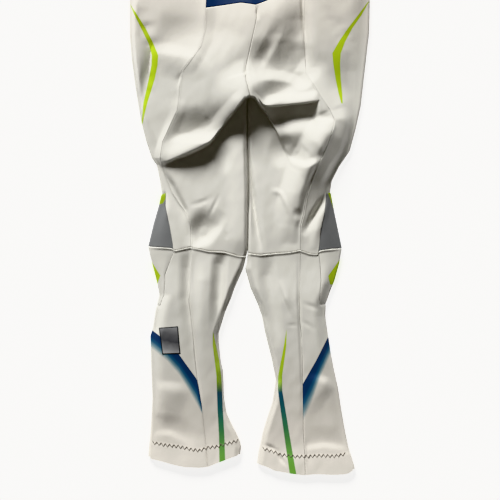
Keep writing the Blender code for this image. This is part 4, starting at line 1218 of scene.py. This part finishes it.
def shin_cloth(colours):
    """White cloth with a short lime wedge at the outer edge under the knee."""
    finish = Finish("shin_cloth_finish")
    spot, x, y, _ = finish.plan()
    left_line = finish.line([(256, 148.0), (275.5, 160.5), (285, 157.0)], y)
    right_line = finish.line([(256, 342.0), (276, 328.0), (285, 330.0)], y)
    left = within(finish, x, 140.0, left_line, 0.35)
    right = within(finish, x, right_line, 350.0, 0.35)
    mask = left.maximum(right) * within(finish, y, 257.0, 284.6, 0.5)
    fabric(finish, spot, finish.mix(mask, tuple(colours.white), tuple(colours.lime)))
    return finish.material


def plain_cloth(name, colour, rough=0.6):
    """Cloth of one plain colour."""
    finish = Finish(name)
    spot, _, _, _ = finish.plan()
    fabric(finish, spot, finish.mix(0.0, colour, colour), rough)
    return finish.material


def metal_finish(name, colour, rough):
    """Brushed metal with fine scratches and a darker mottle at random."""
    finish = Finish(name)
    spot = finish.value("ShaderNodeTexCoord", output="Object")
    long = finish.value("ShaderNodeMapping", None, {"Vector": spot, "Scale": (9.0, 0.6, 9.0)})
    scratch = finish.noise(long, 700.0, 3.0, 0.7)
    stain = finish.noise(spot, 260.0, 3.0, 0.5)
    tone = finish.mix(stain, tuple(c * 0.72 for c in colour), colour)
    finish.set(Base_Color=tone, Metallic=1.0, Roughness=(scratch - 0.5) * 0.22 + rough)
    finish.set(Normal=finish.bump(scratch, 0.00005, 0.5))
    return finish.material


def tab_finish():
    """Moulded dark plastic of the pull tab."""
    finish = Finish("pull_tab_finish")
    spot = finish.value("ShaderNodeTexCoord", output="Object")
    grain = finish.noise(spot, 1900.0, 2.0, 0.6)
    wear = finish.noise(spot, 150.0, 3.0, 0.6)
    tone = finish.mix(wear, (0.012, 0.012, 0.014), (0.035, 0.035, 0.04))
    finish.set(Base_Color=tone, Roughness=(wear - 0.5) * 0.2 + 0.48)
    finish.set(Normal=finish.bump(grain, 0.00008, 0.5), Specular_IOR_Level=0.45)
    return finish.material


def patch_finish(colours):
    """Blank silver transfer label with a dark rim and a soft diagonal painted shine."""
    finish = Finish("patch_finish")
    spot, x, y, _ = finish.plan()
    left = finish.line([(326, 159.0), (354, 162.5)], y)
    right = finish.line([(326, 178.2), (354, 180.7)], y)
    top = finish.line([(159, 327.5), (180, 325.9)], x)
    low = finish.line([(159, 354.1), (181, 353.5)], x)
    inner = (x - left).minimum(right - x).minimum(y - top).minimum(low - y)
    rim = 1.0 - finish.step(inner, 0.75, 1.05)
    # Painted reflection: a diagonal sweep of light and dark across the silver, in its colour
    slope = (y - 327.0) * 0.036 - (x - 170.0) * 0.008
    cloud = finish.noise(spot, 90.0, 2.0, 0.5)
    shine = finish.ramp(slope + (cloud - 0.5) * 0.16,
                        [(0.0, linear(150, 151, 154)), (0.25, linear(112, 113, 116)),
                         (0.5, linear(92, 93, 97)), (0.76, linear(152, 153, 156)),
                         (1.0, linear(204, 204, 206))])
    finish.set(Base_Color=finish.mix(rim, shine, linear(34, 36, 40)), Roughness=0.38)
    finish.set(Metallic=0.35, Normal=finish.bump(finish.noise(spot, 900.0), 0.00006, 0.4))
    return finish.material


SURFACE = {}


def suit_surface():
    """Middle surface of the whole suit, worked out once."""
    if not SURFACE:
        cloth, names = Cloth(), Names()
        lips = add_legs(cloth, names)
        rings = add_body(cloth, names, lips)
        add_chest(cloth, names, rings)
        points, quads, labels = cloth.weld()
        pairs = edge_pairs(quads)
        SURFACE.update(points=points, quads=quads, labels=labels, names=names.found,
                       normals=point_normals(points, quads),
                       ways=np.unique(pairs[:, 0] * len(points) + pairs[:, 1]))
    return SURFACE


def add_panel(node, finish):
    """One panel's cloth, in place of its CAD solid."""
    suit = suit_surface()
    quads = suit["quads"][suit["labels"] == suit["names"].index(node)]
    points = suit["points"]
    if node == "zip_tape":
        points = points + np.array([0.0, 0.0, TAPE_LIFT])
    verts, faces = shell(points, suit["normals"], quads, suit["ways"])
    made = new_object(node + "_cloth", verts, faces, [finish])
    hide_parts(node)
    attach(made, "suit")
    width, length = flat_size(points, quads)
    cloth_area(points, quads)
    return made


def tube(path, radius, sides):
    """Verts and faces of a round tube along a path of points."""
    path = np.asarray(path)
    ahead = unit_rows(np.gradient(path, axis=0))
    across = unit_rows(np.cross(ahead, np.array([0.0, 0.0, 1.0])))
    up = np.cross(across, ahead)
    turns = 2 * math.pi * np.arange(sides) / sides
    rings = (path[:, None] + radius * (np.cos(turns)[None, :, None] * across[:, None]
                                       + np.sin(turns)[None, :, None] * up[:, None]))
    count = len(path)
    verts = rings.reshape(-1, 3)
    faces = []
    for at in range(count - 1):
        for n in range(sides):
            after = (n + 1) % sides
            faces.append([at * sides + n, at * sides + after, (at + 1) * sides + after,
                          (at + 1) * sides + n])
    faces.append(list(range(sides - 1, -1, -1)))
    faces.append([(count - 1) * sides + n for n in range(sides)])
    return verts, faces


def surface_height(side, x, y):
    """Height of the cloth's outer face on a leg, in metres."""
    x, y = np.atleast_1d(x).astype(float), np.atleast_1d(y).astype(float)
    return height(side, x, y, True) + CLOTH / 2


def zigzag_path(side, pitch, reach):
    """Points of the zigzag stitch across the back of one hem."""
    first = pick(side.edge, 445.0) - side.sign * 3.0
    last = pick(side.inner, 445.0) + side.sign * 2.4
    length = abs(last - first)
    count = int(length / pitch) * 2
    corners_x = np.linspace(first, last, count + 1)
    corners_y = pick(side.stitch, corners_x) + reach * np.where(np.arange(count + 1) % 2, 1, -1)
    fine = np.linspace(0.0, 1.0, count * 3 + 1)
    coarse = np.linspace(0.0, 1.0, count + 1)
    x, y = np.interp(fine, coarse, corners_x), np.interp(fine, coarse, corners_y)
    z = surface_height(side, x, y) + HEM_RISE + THREAD_LIFT
    return place(x, y, z)


def zip_line_points(step):
    """Points along the zip from its start to the top of the collar, under the tape."""
    top = NECK_POINT[1] - COLLAR_HEIGHT / UNIT
    count = int((ZIP_START - 1.0 - top) * UNIT / step)
    y = np.linspace(ZIP_START - 1.0, top + 1.0, count)
    return y, tent(np.full(count, CROTCH[0]), y) + TAPE_LIFT


def teeth_mesh(pitch, length, wide, high):
    """Both rows of zip teeth, hooked into each other along the zip."""
    ys, zs = zip_line_points(pitch)
    shape = [(-0.5, 0.0), (0.5, 0.0), (0.34, 0.5), (0.5, 1.0), (-0.5, 1.0), (-0.34, 0.5)]
    verts, faces = [], []
    for number, (y, z) in enumerate(zip(ys, zs)):
        sign = 1.0 if number % 2 else -1.0
        start = len(verts)
        centre = float(place(np.array(CROTCH[0]), np.array(y), 0.0)[1])
        for level in (z - high, z):
            for along, out in shape:
                verts.append((sign * (out * wide - 0.35 * wide), centre + along * length, level))
        count = len(shape)
        low, top = list(range(start, start + count)), list(range(start + count, start + 2 * count))
        sides = [[low[n], low[(n + 1) % count], top[(n + 1) % count], top[n]]
                 for n in range(count)]
        block = sides + [low[::-1], top]
        if sign < 0.0:
            block = [face[::-1] for face in block]
        faces += block
    return verts, faces


def patch_mesh(across, along, lift, thick):
    """Label laid on the outer calf, its points those of the cloth moved out."""
    side = SIDES[0]
    u, v = np.meshgrid(np.linspace(0, 1, across + 1), np.linspace(0, 1, along + 1))
    corners = np.array(PATCH, dtype=float)
    spots = ((1 - v)[..., None] * ((1 - u)[..., None] * corners[0] + u[..., None] * corners[1])
             + v[..., None] * ((1 - u)[..., None] * corners[3] + u[..., None] * corners[2]))
    x, y = spots[..., 0], spots[..., 1]
    z = surface_height(side, x, y).reshape(x.shape)
    inset = np.minimum(np.minimum(u, 1 - u) * across, np.minimum(v, 1 - v) * along)
    low = place(x, y, z + lift)
    high = place(x, y, z + lift + thick * (0.45 + 0.55 * np.clip(inset, 0.0, 1.0)))
    wide = across + 1
    count = low.reshape(-1, 3).shape[0]
    verts = np.concatenate([high.reshape(-1, 3), low.reshape(-1, 3)])
    faces = []
    for row in range(along):
        for column in range(across):
            a = row * wide + column
            quad = [a, a + 1, a + wide + 1, a + wide]
            faces.append(quad)
            faces.append([i + count for i in reversed(quad)])
    rim = list(range(across)) + [row * wide + across for row in range(along)]
    rim += [along * wide + column for column in range(across, 0, -1)]
    rim += [row * wide for row in range(along, 0, -1)]
    for at, i in enumerate(rim):
        j = rim[(at + 1) % len(rim)]
        faces.append([j, i, i + count, j + count])
    return verts, faces


def length(name, description, default, low, high):
    return bpy.props.FloatProperty(name=name, description=description, default=default,
                                   min=low, max=high, unit="LENGTH")


def angle(name, description, degrees, low, high):
    return bpy.props.FloatProperty(name=name, description=description,
                                   default=math.radians(degrees), min=low, max=high,
                                   unit="ROTATION")


def strength(name, description, default):
    return bpy.props.FloatProperty(name=name, description=description, default=default, min=0.0)


def colour(name, description, default):
    return bpy.props.FloatVectorProperty(name=name, description=description, subtype="COLOR",
                                         size=3, default=default, min=0.0, max=1.0)


class SuitSizes(bpy.types.PropertyGroup):
    """Sizes of the sewing and trims."""

    stitch_pitch: length("Stitch pitch", "Length of one zigzag of the hem stitch",
                         0.0078, 0.002, 0.02)
    stitch_reach: length("Stitch reach", "Half height of the zigzag", 0.0029, 0.0005, 0.006)
    thread_radius: length("Thread radius", "Radius of the sewing thread", 0.0006, 0.0001, 0.001)
    tooth_pitch: length("Tooth pitch", "Step between zip teeth of both rows",
                        0.0014, 0.0008, 0.004)
    tooth_width: length("Tooth width", "Width of one zip tooth across the zip",
                        0.0026, 0.001, 0.006)
    patch_thickness: length("Patch thickness", "Thickness of the silver calf patch",
                            0.0006, 0.0002, 0.002)


class SuitColours(bpy.types.PropertyGroup):
    """Colours of the cloth and prints."""

    white: colour("White", "Off-white cloth", linear(225, 224, 217))
    navy: colour("Navy", "Navy back and band", linear(8, 42, 88))
    grey: colour("Grey", "Grey knee cloth", linear(128, 130, 132))
    lime: colour("Lime", "Lime stripes", linear(184, 212, 48))
    green: colour("Green", "Lower end of the calf stripes", linear(112, 168, 76))


class StageSettings(bpy.types.PropertyGroup):
    """Floor, lights and camera."""

    floor: colour("Floor", "Pale floor", (0.9, 0.9, 0.9))
    floor_glow: strength("Floor glow", "Own light of the floor, as a lit table gives", 0.9)
    key_power: strength("Key power", "Power of the main light", 6.0)
    key_size: angle("Key size", "Angle across the main light", 20.0, 0.0, 1.5)
    key_rise: angle("Key rise", "Angle of the main light over the floor", 28.0, 0.1, 1.5)
    key_lean: angle("Key lean", "Turn of the main light to the left of straight up",
                    18.0, -3.2, 3.2)
    fill: strength("Fill", "Strength of the soft light all round", 0.085)
    frame_width: length("Frame width", "Width of the view at the cloth", 0.925, 0.1, 5.0)
    camera_height: length("Camera height", "Height of the camera over the floor",
                          6.0, 1.0, 20.0)


class RACESUIT_OT_back(bpy.types.Operator):
    """Build the seat, the upper back and the side panels"""
    bl_idname = "racesuit.back"
    bl_label = "Back Panels"

    def execute(self, context):
        colours = context.scene.race_suit_colours
        white = plain_cloth("white_cloth_finish", tuple(colours.white))
        sides = side_cloth(colours)
        for name in SIDE_NAMES:
            add_panel("back_seat_" + name, white)
            add_panel("side_" + name, sides)
        navy = plain_cloth("navy_cloth_finish", tuple(colours.navy), 0.55)
        add_panel("back_upper", navy)
        return {"FINISHED"}


class RACESUIT_OT_legs(bpy.types.Operator):
    """Build the knee, calf and shin panels"""
    bl_idname = "racesuit.legs"
    bl_label = "Leg Panels"

    def execute(self, context):
        colours = context.scene.race_suit_colours
        knee, shin = knee_cloth(colours), shin_cloth(colours)
        bands = {"left": CALF_BAND_LEFT, "right": CALF_BAND_RIGHT}
        stripes = {"left": STRIPE_LEFT, "right": STRIPE_RIGHT}
        for name in SIDE_NAMES:
            band = calf_cloth(colours, bands[name], "calf_band_" + name)
            stripe = stripe_cloth(colours, stripes[name], "calf_stripe_" + name)
            add_panel("knee_" + name, knee)
            add_panel("shin_" + name, shin)
            add_panel("calf_outer_" + name, band)
            add_panel("calf_inner_" + name, stripe)
        return {"FINISHED"}


class RACESUIT_OT_front(bpy.types.Operator):
    """Build the front panels that lie on the floor"""
    bl_idname = "racesuit.front"
    bl_label = "Front Panels"

    def execute(self, context):
        colours = context.scene.race_suit_colours
        finish = plain_cloth("front_cloth_finish", tuple(colours.white))
        for name in SIDE_NAMES:
            add_panel("front_" + name, finish)
        return {"FINISHED"}


class RACESUIT_OT_sleeves(bpy.types.Operator):
    """Build both sleeves"""
    bl_idname = "racesuit.sleeves"
    bl_label = "Sleeves"

    def execute(self, context):
        colours = context.scene.race_suit_colours
        finish = plain_cloth("sleeve_cloth_finish", tuple(colours.white))
        for name in SIDE_NAMES:
            add_panel("sleeve_front_" + name, finish)
            add_panel("sleeve_back_" + name, finish)
        return {"FINISHED"}


class RACESUIT_OT_collar(bpy.types.Operator):
    """Build the stand collar"""
    bl_idname = "racesuit.collar"
    bl_label = "Collar"

    def execute(self, context):
        colours = context.scene.race_suit_colours
        finish = plain_cloth("collar_cloth_finish", tuple(colours.white))
        add_panel("collar", finish)
        return {"FINISHED"}


class RACESUIT_OT_zip(bpy.types.Operator):
    """Build the zip tape and teeth, and finish the slider and pull tab"""
    bl_idname = "racesuit.zip"
    bl_label = "Zip"

    def execute(self, context):
        sizes = context.scene.race_suit_sizes
        verts, faces = teeth_mesh(sizes.tooth_pitch, sizes.tooth_pitch * TOOTH_LENGTH_SHARE,
                                  sizes.tooth_width, TOOTH_HEIGHT)
        teeth = new_object("zip_teeth", verts, faces,
                           [metal_finish("teeth_finish", (0.10, 0.10, 0.105), 0.42)], 30.0)
        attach(teeth, "suit")
        tape = plain_cloth("zip_tape_finish", (0.018, 0.018, 0.02), 0.7)
        add_panel("zip_tape", tape)
        finishes = {"zip_slider": metal_finish("slider_finish", (0.42, 0.42, 0.43), 0.3),
                    "pull_tab": tab_finish()}
        for node, finish in finishes.items():
            part = bpy.data.objects[node]
            part.material_slots[0].link = "OBJECT"
            part.material_slots[0].material = finish
        return {"FINISHED"}


class RACESUIT_OT_patch(bpy.types.Operator):
    """Build the blank silver patch on the left calf"""
    bl_idname = "racesuit.patch"
    bl_label = "Calf Patch"

    def execute(self, context):
        sizes = context.scene.race_suit_sizes
        verts, faces = patch_mesh(*PATCH_QUADS, PATCH_LIFT, sizes.patch_thickness)
        made = new_object("calf_patch_label", verts, faces,
                          [patch_finish(context.scene.race_suit_colours)])
        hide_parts("calf_patch")
        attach(made, "suit")
        return {"FINISHED"}


class RACESUIT_OT_stitches(bpy.types.Operator):
    """Sew the zigzag stitches round the backs of both hems"""
    bl_idname = "racesuit.stitches"
    bl_label = "Hem Stitches"

    def execute(self, context):
        sizes = context.scene.race_suit_sizes
        # The light thread is painted grey-beige: painted shade of the stitches' dents in the hem
        thread = plain_cloth("thread_finish", linear(128, 122, 114), 0.7)
        for side in SIDES:
            path = zigzag_path(side, sizes.stitch_pitch / UNIT, sizes.stitch_reach / UNIT)
            verts, faces = tube(path, sizes.thread_radius, 6)
            made = new_object("hem_stitches_" + side.name, verts, faces, [thread])
            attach(made, "suit")
        return {"FINISHED"}


# The stage: the floor's half side and drop under the suit, the plan y at the view's middle, how
# far off the lamp stands, in metres, the colours of the lights and the camera's sensor width
FLOOR_HALF = 12.0
FLOOR_DROP = 0.0004
VIEW_MIDDLE = 250.0
LAMP_AWAY = 3.0
KEY_COLOUR = (1.0, 0.99, 0.965)
FILL_COLOUR = (1.0, 0.94, 0.85, 1.0)
SENSOR = 36.0


class RACESUIT_OT_stage(bpy.types.Operator):
    """Set the floor, the lights and the camera"""
    bl_idname = "racesuit.stage"
    bl_label = "Stage"

    def execute(self, context):
        stage = context.scene.race_suit_stage
        finish = Finish("floor_finish")
        spot = finish.value("ShaderNodeTexCoord", output="Object")
        cloud = finish.noise(spot, 2.0)
        base = tuple(stage.floor)
        finish.set(Base_Color=finish.mix(cloud, tuple(c * 0.985 for c in base), base))
        finish.set(Roughness=0.9, Emission_Color=(1.0, 1.0, 1.0),
                   Emission_Strength=stage.floor_glow)
        corners = [(x * FLOOR_HALF, y * FLOOR_HALF, -FLOOR_DROP)
                   for x, y in ((-1, -1), (1, -1), (1, 1), (-1, 1))]
        floor = new_object("floor", corners, [[0, 1, 2, 3]], [finish.material], 0.0)
        aim = Vector((0.0, (CROTCH[1] - VIEW_MIDDLE) * UNIT - SHIFT_Y, 0.0))
        rise, lean = stage.key_rise, stage.key_lean
        way = Vector((-math.sin(lean) * math.cos(rise), math.cos(lean) * math.cos(rise),
                      math.sin(rise)))
        lamp = bpy.data.lights.new("key_light", "SUN")
        lamp.energy = stage.key_power
        lamp.angle = stage.key_size
        lamp.color = KEY_COLOUR
        holder = bpy.data.objects.new("key_light", lamp)
        holder.location = aim + way * LAMP_AWAY
        holder.rotation_euler = (-way).to_track_quat("-Z", "Y").to_euler()
        context.scene.collection.objects.link(holder)
        world = bpy.data.worlds.new("studio")
        world.use_nodes = True
        background = world.node_tree.nodes["Background"].inputs
        background[0].default_value = FILL_COLOUR
        background[1].default_value = stage.fill
        context.scene.world = world
        eye = bpy.data.cameras.new("photo_camera")
        eye.sensor_width = SENSOR
        eye.lens = SENSOR * stage.camera_height / stage.frame_width
        eye.clip_end = 100.0
        camera = bpy.data.objects.new("photo_camera", eye)
        camera.location = aim + Vector((0.0, 0.0, stage.camera_height))
        context.scene.collection.objects.link(camera)
        context.scene.camera = camera
        context.scene.view_settings.view_transform = "Khronos PBR Neutral"
        context.scene.view_settings.look = "None"
        return {"FINISHED"}


class RACESUIT_PT_panel(bpy.types.Panel):
    """Lists the sizes, colours and steps of the race suit"""
    bl_idname = "RACESUIT_PT_panel"
    bl_label = "Race Suit"
    bl_space_type = "VIEW_3D"
    bl_region_type = "UI"
    bl_category = "Race Suit"

    def draw(self, context):
        layout = self.layout
        for group in (context.scene.race_suit_sizes, context.scene.race_suit_colours,
                      context.scene.race_suit_stage):
            box = layout.box()
            for key in group.bl_rna.properties.keys():
                if key not in ("rna_type", "name"):
                    box.prop(group, key)
        for step in STEPS:
            layout.operator(step.bl_idname)


STEPS = [RACESUIT_OT_front, RACESUIT_OT_back, RACESUIT_OT_legs, RACESUIT_OT_sleeves,
         RACESUIT_OT_collar, RACESUIT_OT_zip, RACESUIT_OT_patch, RACESUIT_OT_stitches,
         RACESUIT_OT_stage]
GROUPS = {"race_suit_sizes": SuitSizes, "race_suit_colours": SuitColours,
          "race_suit_stage": StageSettings}


def register():
    for item in [*GROUPS.values(), *STEPS, RACESUIT_PT_panel]:
        bpy.utils.register_class(item)
    for name, group in GROUPS.items():
        setattr(bpy.types.Scene, name, bpy.props.PointerProperty(type=group))


def unregister():
    for name in GROUPS:
        delattr(bpy.types.Scene, name)
    for item in reversed([*GROUPS.values(), *STEPS, RACESUIT_PT_panel]):
        bpy.utils.unregister_class(item)


def main():
    register()
    bpy.ops.racesuit.front()
    bpy.ops.racesuit.back()
    bpy.ops.racesuit.legs()
    bpy.ops.racesuit.sleeves()
    bpy.ops.racesuit.collar()
    bpy.ops.racesuit.zip()
    bpy.ops.racesuit.patch()
    bpy.ops.racesuit.stitches()
    bpy.ops.racesuit.stage()


if __name__ == "__main__":
    main()
